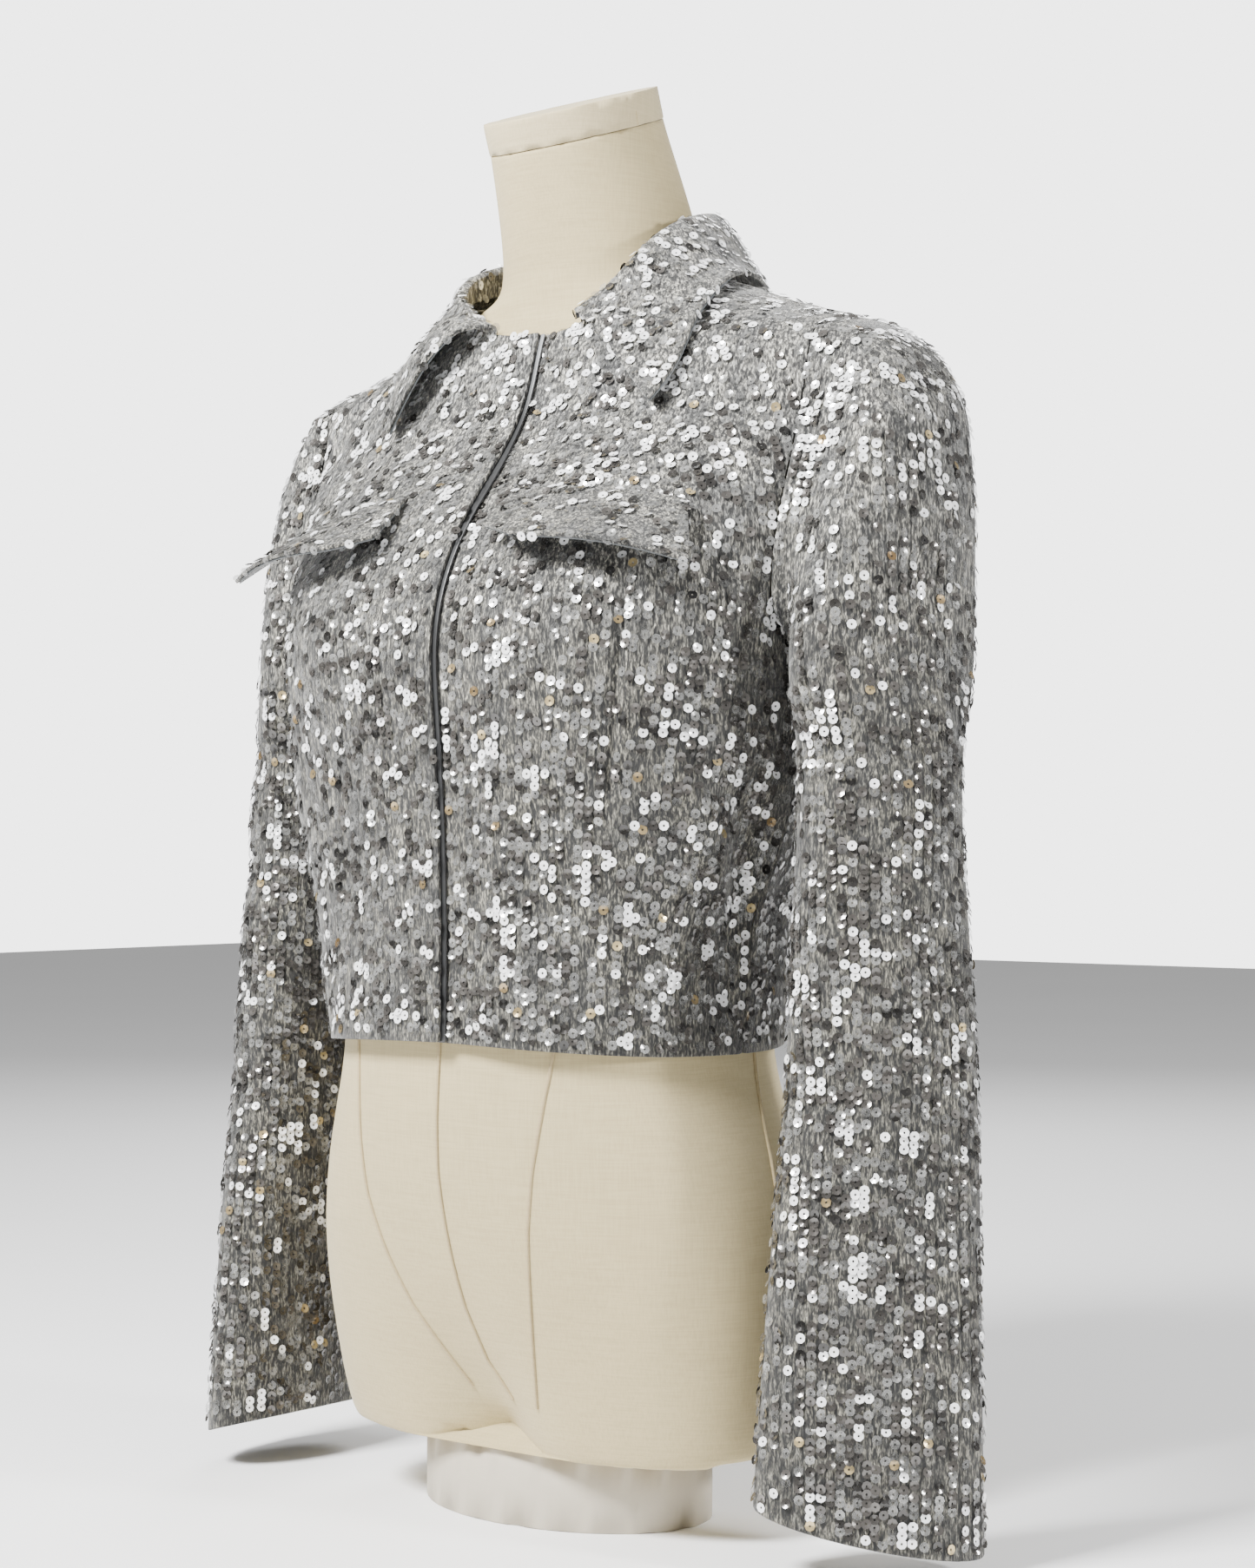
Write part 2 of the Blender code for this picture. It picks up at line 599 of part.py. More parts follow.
def collar_half(hand):
    """Outer grid of half the collar: stations from the centre back to the front,
    each from the stand's lower edge over the fold to the fall's outer edge.
    """
    stations = []
    numbered = [(i,) + row for i, row in enumerate(COLLAR)]
    names = ("station",) + COLLAR_COLUMNS
    last = len(COLLAR) - 1
    for s in range(COLLAR_STATIONS + 1):
        at = last * s / COLLAR_STATIONS
        turn, stand, lean, *edge = (column(numbered, names, name, at, "station")
                                    for name in COLLAR_COLUMNS)
        neck = neckline(math.radians(turn * COLLAR_END[hand] / COLLAR[-1][0]))
        away = np.array([neck[0], neck[1] - NECK_MIDDLE_Y, 0.0])
        away /= np.linalg.norm(away)
        side = smoothstep(*SIDE_SPAN[:2], at) * (1 - smoothstep(*SIDE_SPAN[2:], at))
        up = np.array([0.0, 0.0, stand * (1 - SIDE_STAND_LOSS[hand] * side)])
        neck += np.array([0.0, 0.0, 2 * SEAM])
        front = smoothstep(0.55 * last, last, at)
        edge = np.array(edge)
        edge[0] -= SIDE_IN[hand] * side
        edge[2] -= SIDE_EDGE_DROP[hand] * side
        if hand < 0:
            edge[0] -= LEAF_IN_RIGHT * front
        fold = neck + up + away * (lean + FOLD_WIDE)
        points = [neck, neck + STAND_BEND * up + away * 0.5 * lean, neck + 0.9 * up + away * lean]
        points.append(neck + (1 + FALL_SWELL) * up + away * (lean + 0.5 * FOLD_WIDE))
        fall = COLLAR_ROWS - 3
        for k in range(fall):
            t = k / (fall - 1)
            point = fold + (edge - fold) * t
            swell = FALL_SWELL * math.sin(math.pi * t) * (1 - t)
            point[2] += swell * np.linalg.norm(edge - fold)
            point = off_body(point, LEAF_CLEAR)
            if hand < 0:
                rise = LEAF_LIFT_RIGHT * front * math.sin(math.pi * min(t * 1.05, 1.0)) ** 0.8
                point += np.array(LEAF_LIFT_WAY) * rise
            points.append(point)
        stations.append([(p[0] * hand, p[1], p[2]) for p in points])
    return np.array(stations)


def collar_grid():
    """Outer grid of the whole collar, from the right leaf round to the left."""
    right, left = collar_half(-1), collar_half(1)
    return np.concatenate((right[::-1], left[1:]), axis=0)


def build_collar():
    """Collar and the satin underside of each leaf."""
    grid = collar_grid()
    out = face_normals(grid)
    probe = out[grid.shape[0] // 2, -2]
    if probe[1] < 0:
        out = -out
    add_wall("collar", grid, grid - out * CLOTH, SEQUIN_CLOTH)
    stations = int(round(COLLAR_STATIONS * UNDERSIDE_FROM))
    spans = {"right": slice(0, COLLAR_STATIONS - stations),
             "left": slice(COLLAR_STATIONS + 1 + stations, None)}
    for name, span in spans.items():
        top = grid[span, 5:] - out[span, 5:] * (CLOTH + SEAM)
        add_wall(f"collar_underside_{name}", top, top - out[span, 5:] * SATIN, SATIN_GREY)


def build_flap(name, hand):
    """Chest pocket flap, sewn along its top and tilting out, and its satin side."""
    side = "left" if hand > 0 else "right"
    grid = np.zeros((FLAP_ROWS + 1, FLAP_COLUMNS + 1, 3))
    for c in range(FLAP_COLUMNS + 1):
        s = c / FLAP_COLUMNS
        x = FLAP_INNER + (FLAP_OUTER - FLAP_INNER) * s
        z = FLAP_TOP - FLAP_DROP_OUT * s * s
        tilt = math.radians(FLAP_TILT[side] + FLAP_TILT_OUTER[side] * s)
        sewn = off_body(surface(x, z, "front"), CLOTH + SATIN + FLAP_AIR)
        ahead = surface(x + 0.002, z, "front") - surface(x - 0.002, z, "front")
        ahead /= np.linalg.norm(ahead)
        below = surface(x, z - 0.004, "front") - surface(x, z, "front")
        below -= ahead * np.dot(ahead, below)
        below /= np.linalg.norm(below)
        away = np.cross(ahead, -below)
        for r in range(FLAP_ROWS + 1):
            t = r / FLAP_ROWS
            run = FLAP_RUN * t * (1 - FLAP_INNER_CORNER * (1 - smoothstep(0.0, 0.25, s)))
            droop = FLAP_DROOP * FLAP_RUN * t * t
            point = sewn + below * run * math.cos(tilt) + away * run * math.sin(tilt)
            point += below * droop
            point += ahead * FLAP_SPREAD * t * (2 * s - 1)
            grid[r, c] = (point[0] * hand, point[1], point[2])
    out = face_normals(grid)
    if out[-1, 4, 1] > 0:
        out = -out
    add_wall(name, grid, grid - out * CLOTH, SEQUIN_CLOTH)
    under = grid - out * (CLOTH + SEAM)
    under[:, 0] += (under[:, 1] - under[:, 0]) * LINING_IN
    under[:, -1] += (under[:, -2] - under[:, -1]) * LINING_IN
    under[-1] += (under[-2] - under[-1]) * LINING_HEM
    add_wall(name.replace("flap", "flap_lining"), under, under - out * SATIN, SATIN_GREY)


def build_facing(grids, normals):
    """Satin strip under the right front's edge, showing as a narrow line."""
    edge, out = grids["front_right"][:, -1], normals["front_right"][:, -1]
    inside = grids["front_right"][:, -2] - edge
    inside /= np.linalg.norm(inside, axis=1, keepdims=True)
    columns = []
    for place in (-1.0, -0.3, 0.0, 1.0):
        points = []
        for r in range(len(edge)):
            shows = FACING_SHOWS + FACING_BULGE["wide"] * bell(
                edge[r, 2], FACING_BULGE["z"], FACING_BULGE["tall"])
            reach = FACING_UNDER * -place if place < 0 else -shows * place
            points.append(edge[r] + inside[r] * reach - out[r] * (CLOTH + SEAM))
        columns.append(points)
    top = np.array(columns).transpose(1, 0, 2)
    under = top - out[:, None] * SATIN
    add_wall("front_facing", top, under, SATIN_GREY)


def form_section(z):
    """Sizes of the form at a height that the jacket covers."""
    lift = SHOULDER_DROP * smoothstep(0.50, 0.60, z)
    ease = {name: column(EASE, EASE_COLUMNS, name, z) for name in EASE_COLUMNS[1:]}
    half_width = body("half_width", z + lift) - ease["side"]
    over = half_width - ARM_PLATE
    if over > -PLATE_ROUND:
        half_width = ARM_PLATE - PLATE_ROUND * math.exp(-(over + PLATE_ROUND) / PLATE_ROUND)
    return {"z": z, "half_width": half_width, "front": body("front", z + lift) + ease["front"],
            "back": body("back", z + lift) - ease["back"], "side": body("side", z + lift),
            "power": body("power", z + lift), "cleft": 0.0, "tilt": 0.0}


def form_ring(section):
    """Ring of the form from its section, starting at the centre front."""
    ring = []
    for i in range(FORM_SIDES):
        angle = 2 * math.pi * i / FORM_SIDES
        sine, cosine = math.sin(angle), math.cos(angle)
        power = 2 / section["power"]
        x = math.copysign(section["half_width"] * abs(sine) ** power, sine)
        front = cosine > 0
        depth = (section["side"] - section["front"] if front
                 else section["back"] - section["side"])
        depth = depth * abs(cosine) ** power
        depth -= section["cleft"] * bell(x, 0.0, CLEFT_WIDE)
        y = section["side"] - depth if front else section["side"] + depth
        z = section["z"] + math.tan(math.radians(section["tilt"])) * (y - section["side"])
        ring.append((x, y, z))
    return ring


def build_form():
    """Limbless form: thighs cut short, torso, closed armholes and neck."""
    rows = [dict(zip(FORM_COLUMNS, row)) for row in FORM_BELOW]
    rows += [form_section(z) for z in FORM_JACKET_LEVELS]
    rows += [dict(zip(FORM_COLUMNS, row)) for row in FORM_NECK]
    mesh = bmesh.new()
    rings = [[mesh.verts.new(p) for p in form_ring(row)] for row in rows]
    for vert in rings[0]:
        vert.co.z += CLEFT_RISE * bell(vert.co.x, 0.0, CLEFT_WIDE * 0.75)
    for low, high in zip(rings, rings[1:]):
        for i in range(FORM_SIDES):
            j = (i + 1) % FORM_SIDES
            mesh.faces.new((low[i], low[j], high[j], high[i]))
    foot = rings[0]
    for i in range(FORM_SIDES // 2):
        corners = (foot[-i], foot[-i - 1], foot[i + 1], foot[i])
        mesh.faces.new(list(dict.fromkeys(corners)))
    mesh.faces.new(rings[-1])
    add_object("dress_form", mesh, LINEN)
    return rows[-1]


def build_cap(section):
    """Cap of the neck: a round slice on the neck's tilted cut, edges eased."""
    top = dict(section)
    top["half_width"] += CAP_MARGIN
    top["front"] -= CAP_MARGIN
    top["back"] += CAP_MARGIN
    tilt = math.radians(section["tilt"])
    up = np.array([0.0, -math.sin(tilt), math.cos(tilt)])
    ring = np.array(form_ring(top))
    mesh = bmesh.new()
    low = [mesh.verts.new(p + up * SEAM) for p in ring]
    high = [mesh.verts.new(p + up * (SEAM + CAP_THICK)) for p in ring]
    mesh.faces.new(low)
    mesh.faces.new(high)
    for i in range(FORM_SIDES):
        j = (i + 1) % FORM_SIDES
        mesh.faces.new((low[i], low[j], high[j], high[i]))
    rims = [e for e in mesh.edges if len({v in high for v in e.verts}) == 1
            and e.verts[0] in high]
    bmesh.ops.bevel(mesh, geom=rims, offset=CAP_BEVEL, offset_type="OFFSET", segments=2,
                    profile=0.5, affect="EDGES", material=-1)
    add_object("neck_cap", mesh, CAP_LINEN)


def build_base():
    """Plain low base that carries the form clear of the surface."""
    mesh = bmesh.new()
    top = FORM_BELOW[0][0] - SEAM
    rings = []
    for z in (0.0, top):
        rings.append([mesh.verts.new((BASE_HALF_X * math.sin(a),
                                      BASE_CENTRE_Y - BASE_HALF_Y * math.cos(a), z))
                      for a in np.arange(BASE_SIDES) * 2 * math.pi / BASE_SIDES])
    for ring in rings:
        mesh.faces.new(ring)
    for i in range(BASE_SIDES):
        j = (i + 1) % BASE_SIDES
        mesh.faces.new((rings[0][i], rings[0][j], rings[1][j], rings[1][i]))
    add_object("form_base", mesh, PALE_WOOD)


def main():
    """Clear the scene and build every piece."""
    for old in list(bpy.data.objects):
        bpy.data.objects.remove(old, do_unlink=True)
    grids, normals = build_body()
    build_sleeve("sleeve_left", grids, normals, 1)
    build_sleeve("sleeve_right", grids, normals, -1)
    build_collar()
    build_flap("flap_left", 1)
    build_flap("flap_right", -1)
    build_facing(grids, normals)
    build_cap(build_form())
    build_base()


main()
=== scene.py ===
"""Looks of the sequin jacket and its dress form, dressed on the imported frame.

Metres; +Z is up, the front faces -Y and the wearer's left is +X. A turn is an
angle about a piece's own upright middle line: 0 is the front, 90 the wearer's left.
"""

import logging
import math
from collections.abc import Iterable
from dataclasses import dataclass, field
from enum import Enum

import bmesh
import bpy
import numpy as np
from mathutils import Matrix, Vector, noise
from mathutils.bvhtree import BVHTree

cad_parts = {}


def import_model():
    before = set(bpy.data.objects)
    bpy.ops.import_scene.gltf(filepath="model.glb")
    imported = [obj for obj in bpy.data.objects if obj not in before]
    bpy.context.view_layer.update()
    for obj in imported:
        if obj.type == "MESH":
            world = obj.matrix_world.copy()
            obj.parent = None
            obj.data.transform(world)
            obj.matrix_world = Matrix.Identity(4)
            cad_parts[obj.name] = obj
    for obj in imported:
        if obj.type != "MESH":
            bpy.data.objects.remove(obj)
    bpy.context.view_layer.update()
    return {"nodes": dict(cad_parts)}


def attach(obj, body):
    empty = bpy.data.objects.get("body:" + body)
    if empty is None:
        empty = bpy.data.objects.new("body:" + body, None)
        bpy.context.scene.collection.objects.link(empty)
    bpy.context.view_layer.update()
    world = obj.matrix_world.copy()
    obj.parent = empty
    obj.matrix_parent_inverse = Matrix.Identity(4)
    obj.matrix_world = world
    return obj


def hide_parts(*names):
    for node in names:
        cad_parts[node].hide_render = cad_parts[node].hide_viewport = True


LOG = logging.getLogger("sequin_jacket")

BODY = "root"
SEED = 11
MERGE = 0.00001                 # vertices of the frame closer than this are one
RIM_ANGLE = math.radians(50)    # a sharper edge of a solid is a cut edge
CLOTH_JOIN = math.radians(38)   # triangles of cloth that meet at less than this become one face
FORM_JOIN = math.radians(30)    # and those of the form, its cap and its base
JOIN_SHAPE = math.radians(60)   # how far such a face may be from a rectangle
FORM_RIM = 0.92                 # how sharp the form's cut edges stay, from 0 to 1
RISE_PER_METRE = 600.0          # degrees that a route tilts up for each metre above a spine
TURN_STEP = 0.4                 # degrees between the directions tried for a column of sequins
CLIMB_STEP = 0.002              # metres between the heights tried up a column
RISE_STEP = 0.5                 # degrees between the directions tried above a spine's top
OPEN_RADIUS = 0.13              # columns cross an opening as if the cloth lay at this radius
NEARLY_LEVEL = 0.2              # share of upright below which a face counts as lying level
RAY_START = 0.0002              # rays that look for a cover start this far off the cloth
HEM_MARGIN = 0.0015             # the lowest sequins start this far above a hem
DART_BARE = 0.0024              # half the width that stays bare along a dart
UNDER_CLEARANCE = 0.0032        # the least room for a sequin under another piece
HIDDEN_REACH = 0.03             # a side of a small piece this close to another one is hidden

Route = tuple[tuple[float, float], ...]
Row = tuple[float, ...]
Value = bpy.types.NodeSocket | float | Row    # what fills a shader's socket


class Hold(Enum):
    HUNG = "hung"
    FOLDED = "folded"


class SequinKind(Enum):
    """Kinds of sequin that are sewn on, in the order of their material slots."""

    CLEAR = 0
    # Silver sequins are painted near white: painted glints that stay bright under any light.
    SILVER_PAINTED_GLINT = 1
    PEWTER = 2
    GOLD = 3


def smoothstep(low: float, high: float, value: np.ndarray | float) -> np.ndarray | float:
    """Rise smoothly from 0 at low to 1 at high.

    Args:
        low: Where the rise starts.
        high: Where it ends.
        value: One value or an array of them.

    Returns:
        The share of the rise at each value.
    """
    t = np.clip((np.asarray(value) - low) / (high - low), 0.0, 1.0)
    return t * t * (3 - 2 * t)


def read_points(mesh: bpy.types.Mesh) -> np.ndarray:
    """Read a mesh's vertices.

    Args:
        mesh: The mesh.

    Returns:
        An array with a row of x, y and z for each vertex.
    """
    flat = np.empty(len(mesh.vertices) * 3, dtype=np.float32)
    mesh.vertices.foreach_get("co", flat)
    return flat.reshape(-1, 3).astype(float)


def write_points(mesh: bpy.types.Mesh, points: np.ndarray) -> None:
    """Move a mesh's vertices.

    Args:
        mesh: The mesh.
        points: Where its vertices go, a row for each.
    """
    mesh.vertices.foreach_set("co", points.astype(np.float32).ravel())
    mesh.update()


def surface_tree(mesh: bpy.types.Mesh) -> BVHTree:
    """Make a search tree of a mesh's faces.

    Args:
        mesh: The mesh, in the frame's own coordinates.

    Returns:
        The tree.
    """
    points = [tuple(v.co) for v in mesh.vertices]
    return BVHTree.FromPolygons(points, [tuple(p.vertices) for p in mesh.polygons])


def mirrored(route: Route) -> Route:
    """Give a route of turns and heights as it runs on the garment's other side."""
    return tuple((-turn, height) for turn, height in route)


def add_object(name: str, data: bpy.types.ID) -> bpy.types.Object:
    """Put a new object in the scene.

    Args:
        name: Its name.
        data: Its mesh, curve, light or camera.

    Returns:
        The object.
    """
    made = bpy.data.objects.new(name, data)
    bpy.context.scene.collection.objects.link(made)
    return made


def shown_mesh(source: bpy.types.Object, name: str) -> bpy.types.Mesh:
    """Make a mesh of an object as it shows, with its modifiers or its thickness.

    Args:
        source: The object.
        name: The new mesh's name.

    Returns:
        The mesh.
    """
    bpy.context.view_layer.update()
    shown = source.evaluated_get(bpy.context.evaluated_depsgraph_get())
    mesh = bpy.data.meshes.new_from_object(shown)
    mesh.name = name
    return mesh


def divided_copy(node: bpy.types.Object, name: str, join: float, rim: float,
                 detail: int) -> bpy.types.Object:
    """Round off a merged copy of a solid, its cut edges kept.

    Args:
        node: The solid.
        name: The new piece's name.
        join: The angle up to which its triangles become one face.
        rim: How sharp its cut edges stay, from 0 to 1.
        detail: How many times its faces are divided.

    Returns:
        The piece.
    """
    work = bmesh.new()
    work.from_mesh(node.data)
    bmesh.ops.remove_doubles(work, verts=work.verts, dist=MERGE)
    bmesh.ops.join_triangles(work, faces=work.faces, angle_face_threshold=join,
                             angle_shape_threshold=JOIN_SHAPE)
    crease = work.edges.layers.float.new("crease_edge")
    for edge in work.edges:
        if edge.calc_face_angle(0.0) > RIM_ANGLE:
            edge[crease] = rim
    mesh = bpy.data.meshes.new(name)
    work.to_mesh(mesh)
    work.free()
    piece = add_object(name, mesh)
    divide = piece.modifiers.new("divide", "SUBSURF")
    divide.levels = detail
    divide.render_levels = detail
    divided = shown_mesh(piece, name)
    piece.modifiers.clear()
    piece.data = divided
    return piece


def coat(mesh: bpy.types.Mesh, finish: bpy.types.Material) -> None:
    """Shade a mesh smoothly and give it one finish."""
    mesh.shade_smooth()
    mesh.materials.clear()
    mesh.materials.append(finish)


class Graph:
    """A material's shader nodes, added and joined in short steps."""

    def __init__(self, name: str) -> None:
        """Start a material with a Principled shader.

        Args:
            name: The material's name.
        """
        self.material = bpy.data.materials.new(name)
        self.material.use_nodes = True
        self.tree = self.material.node_tree
        self.shader = self.tree.nodes["Principled BSDF"]
        self.place = self.tree.nodes.new("ShaderNodeTexCoord").outputs["Object"]

    def join(self, socket: bpy.types.NodeSocket, value: Value) -> None:
        """Link a value to a socket, or set it there as a constant."""
        if isinstance(value, bpy.types.NodeSocket):
            self.tree.links.new(value, socket)
        else:
            socket.default_value = value

    def fill(self, node: bpy.types.Node, **values: Value) -> bpy.types.Node:
        """Fill a node's sockets in, by their names with underscores for spaces."""
        for name, value in values.items():
            self.join(node.inputs[name.replace("_", " ")], value)
        return node

    def add(self, kind: str, **values: Value) -> bpy.types.Node:
        """Add a node and fill its sockets in."""
        return self.fill(self.tree.nodes.new(f"ShaderNode{kind}"), **values)

    def set(self, **values: Value) -> None:
        """Fill the shader's own sockets in."""
        self.fill(self.shader, **values)

    def noise(self, scale: tuple[float, float, float], detail: float = 3.0,
              roughness: float = 0.6, distortion: float = 0.0) -> bpy.types.NodeSocket:
        """Add a noise pattern.

        Args:
            scale: Repeats per metre along X, Y and Z.
            detail: How many finer layers it has.
            roughness: How strong the finer layers are.
            distortion: How far it is warped.

        Returns:
            The pattern, from 0 to 1.
        """
        mapping = self.add("Mapping", Vector=self.place, Scale=scale)
        node = self.add("TexNoise", Vector=mapping.outputs["Vector"], Scale=1.0, Detail=detail,
                        Roughness=roughness, Distortion=distortion)
        return node.outputs["Fac"]

    def attribute(self, name: str) -> bpy.types.NodeSocket:
        """Read a number that each vertex carries.

        Args:
            name: The attribute's name.

        Returns:
            Its value.
        """
        node = self.add("Attribute")
        node.attribute_name = name
        return node.outputs["Fac"]

    def ramp(self, value: bpy.types.NodeSocket, stops: Iterable[Row]) -> bpy.types.NodeSocket:
        """Turn a pattern into colours.

        Args:
            value: The pattern.
            stops: Rows of a place from 0 to 1 and a red, green and blue value.

        Returns:
            The colour.
        """
        node = self.add("ValToRGB", Fac=value)
        stops = list(stops)
        points = node.color_ramp.elements
        while len(points) < len(stops):
            points.new(0.5)
        for point, (place, *colour) in zip(points, stops):
            point.position = place
            point.color = (*colour, 1.0)
        return node.outputs["Color"]

    def two_tone(self, value: bpy.types.NodeSocket, shade: Row, dark: tuple[float, float],
                 light: tuple[float, float]) -> bpy.types.NodeSocket:
        """Vary one colour with a pattern.

        Args:
            value: The pattern.
            shade: The colour's red, green and blue.
            dark: Where the pattern is darkest, and the share of the colour there.
            light: Where it is lightest, and the share there.

        Returns:
            The varied colour.
        """
        return self.ramp(value, [(place, *(share * c for c in shade))
                                 for place, share in (dark, light)])

    def by_height(self, stops: Iterable[Row]) -> bpy.types.NodeSocket:
        """Give colours by the height above the base.

        Args:
            stops: Rows of a height and a red, green and blue value.

        Returns:
            The colour.
        """
        return self.ramp(self.add("SeparateXYZ", Vector=self.place).outputs["Z"], stops)

    def math(self, operation: str, first: bpy.types.NodeSocket,
             second: bpy.types.NodeSocket | float) -> bpy.types.NodeSocket:
        """Join two numbers with one sum.

        Args:
            operation: The sum, in Blender's own word for it.
            first: The first number.
            second: The second number.

        Returns:
            The result.
        """
        node = self.add("Math")
        node.operation = operation
        for socket, value in zip(node.inputs, (first, second)):
            self.join(socket, value)
        return node.outputs[0]

    def tinted(self, colour: bpy.types.NodeSocket,
               tint: bpy.types.NodeSocket) -> bpy.types.NodeSocket:
        """Darken or lighten a colour by another one.

        Args:
            colour: The colour.
            tint: What it is multiplied by.

        Returns:
            The new colour.
        """
        node = self.add("Mix")
        node.data_type = "RGBA"
        node.blend_type = "MULTIPLY"
        for socket, value in zip((node.inputs[0], *node.inputs[6:8]), (1.0, colour, tint)):
            self.join(socket, value)
        return node.outputs[2]

    def bump(self, height: bpy.types.NodeSocket, depth: float, strength: float) -> None:
        """Raise a pattern on the surface.

        Args:
            height: The pattern.
            depth: How high it stands, in metres.
            strength: How strongly it shows.
        """
        node = self.add("Bump", Height=height, Distance=depth, Strength=strength)
        self.set(Normal=node.outputs["Normal"])


@dataclass(frozen=True)
class MarledCloth:
    """Grey and off-white yarn in short upright streaks, a little warmer low down, with painted
    shade that darkens it low down and painted light that lightens it high up.

    Attributes:
        streaks: Streaks to the metre across and along the cloth.
        finer: How many times as fine the fuzz on them is.
        patches: Lighter and darker patches to the metre.
        yarn_height: How far the yarn stands up.
        yarns: The yarns' colours, from the gaps between them to the lightest and its edge.
        fuzz: How the fuzz darkens and lightens them.
        patch_tints: How the patches do.
        warmth_and_painted_light_by_height: How the height tints it, from low to high: a little
            warmer and darker low down, the darkness painted shade, and lighter high up, painted
            light.
    """

    streaks: tuple[float, float, float] = (700.0, 700.0, 190.0)
    finer: float = 2.6
    patches: tuple[float, float, float] = (55.0, 55.0, 26.0)
    yarn_height: float = 0.0007
    yarns: tuple[Row, ...] = (
        (0.35, 0.004, 0.004, 0.004), (0.44, 0.030, 0.030, 0.029), (0.51, 0.100, 0.098, 0.092),
        (0.59, 0.25, 0.246, 0.228), (0.67, 0.52, 0.51, 0.48), (0.75, 0.12, 0.123, 0.126))
    fuzz: tuple[Row, ...] = (
        (0.34, 0.22, 0.22, 0.23), (0.48, 0.90, 0.90, 0.89), (0.68, 1.30, 1.29, 1.25))
    patch_tints: tuple[Row, ...] = (
        (0.33, 0.55, 0.56, 0.58), (0.50, 0.92, 0.91, 0.88), (0.66, 1.25, 1.23, 1.17))
    # Painted shade darkens the cloth below 0.42 m and painted light lightens it above 0.60 m; the
    # low row is also a little warmer.
    warmth_and_painted_light_by_height: tuple[Row, ...] = ((0.42, 0.50, 0.49, 0.45), (0.60, 1.12, 1.12, 1.12))

    def material(self) -> bpy.types.Material:
        """Make the cloth's material."""
        graph = Graph("marled_cloth")
        streak = graph.noise(self.streaks, detail=2.0, roughness=0.65, distortion=0.4)
        fine = graph.noise(tuple(self.finer * s for s in self.streaks), detail=1.0)
        patch = graph.noise(self.patches, detail=2.0)
        shade = graph.ramp(streak, self.yarns)
        # The height tint paints shade low down and light high up.
        for tint in (graph.ramp(fine, self.fuzz), graph.by_height(self.warmth_and_painted_light_by_height),
                     graph.ramp(patch, self.patch_tints)):
            shade = graph.tinted(shade, tint)
        graph.bump(graph.math("ADD", streak, graph.math("MULTIPLY", fine, 0.5)),
                   self.yarn_height, 0.9)
        graph.set(Base_Color=shade, Roughness=0.82, Sheen_Weight=0.25, Sheen_Roughness=0.5)
        return graph.material


@dataclass(frozen=True)
class SequinFilm:
    """Thin film of one kind of sequin, its shade read from each sequin's own tone.

    Attributes:
        kind: The kind of sequin.
        dark: Its darkest red, green and blue.
        light: Its lightest red, green and blue.
        metallic: How much it reflects like metal.
        roughness: How matt it is.
        coat: How much clear gloss lies over it.
        cover: How much it hides of what lies under it.
    """

    kind: SequinKind
    dark: tuple[float, float, float]
    light: tuple[float, float, float]
    metallic: float
    roughness: float
    coat: float = 0.5
    cover: float = 1.0

    def material(self) -> bpy.types.Material:
        """Make the film's material."""
        graph = Graph(f"sequin_{self.kind.name.lower()}")
        shade = graph.ramp(graph.attribute("tone"), ((0.0, *self.dark), (1.0, *self.light)))
        graph.set(Base_Color=shade, Metallic=self.metallic, Roughness=self.roughness,
                  Coat_Weight=self.coat, Coat_Roughness=0.08, Alpha=self.cover)
        return graph.material


SEQUIN_FILMS = (
    SequinFilm(SequinKind.CLEAR, (0.08, 0.08, 0.078), (0.50, 0.50, 0.485), 0.40, 0.25, 1.0, 0.5),
    # The silver film is near white and hardly metallic: a painted glint.
    SequinFilm(SequinKind.SILVER_PAINTED_GLINT, (0.86, 0.86, 0.86), (1.0, 1.0, 1.0), 0.12, 0.20, 1.0),
    SequinFilm(SequinKind.PEWTER, (0.016, 0.015, 0.014), (0.13, 0.12, 0.11), 0.55, 0.24, 0.9),
    SequinFilm(SequinKind.GOLD, (0.20, 0.13, 0.06), (0.66, 0.53, 0.28), 0.60, 0.24, 0.8),
)


@dataclass(frozen=True)
class Satin:
    """Smooth grey lining satin with a fine thread.

    Attributes:
        name: The material's name.
        shade: Its red, green and blue.
        low: Share of that shade that it has below the neck, where the overlap shades it.
        neck: Heights between which that share rises to the whole.
        threads: Threads to the metre.
        raised: How far the threads stand up.
    """

    name: str = "grey_satin"
    shade: tuple[float, float, float] = (0.095, 0.104, 0.108)
    low: float = 1.0
    neck: tuple[float, float] = (0.585, 0.630)
    threads: float = 2600.0
    raised: float = 0.00008

    def material(self) -> bpy.types.Material:
        """Make the satin's material."""
        graph = Graph(self.name)
        cloudy = graph.noise((60.0, 60.0, 30.0), detail=2.0)
        cloth = graph.two_tone(cloudy, self.shade, (0.3, 0.82), (0.7, 1.18))
        shaded = graph.by_height([(height, share, share, share)
                                  for height, share in zip(self.neck, (self.low, 1.0))])
        graph.bump(graph.noise((self.threads, self.threads, 240.0), detail=0.0), self.raised, 0.5)
        graph.set(Base_Color=graph.tinted(cloth, shaded), Roughness=0.36, Sheen_Weight=0.4,
                  Sheen_Roughness=0.3)
        return graph.material


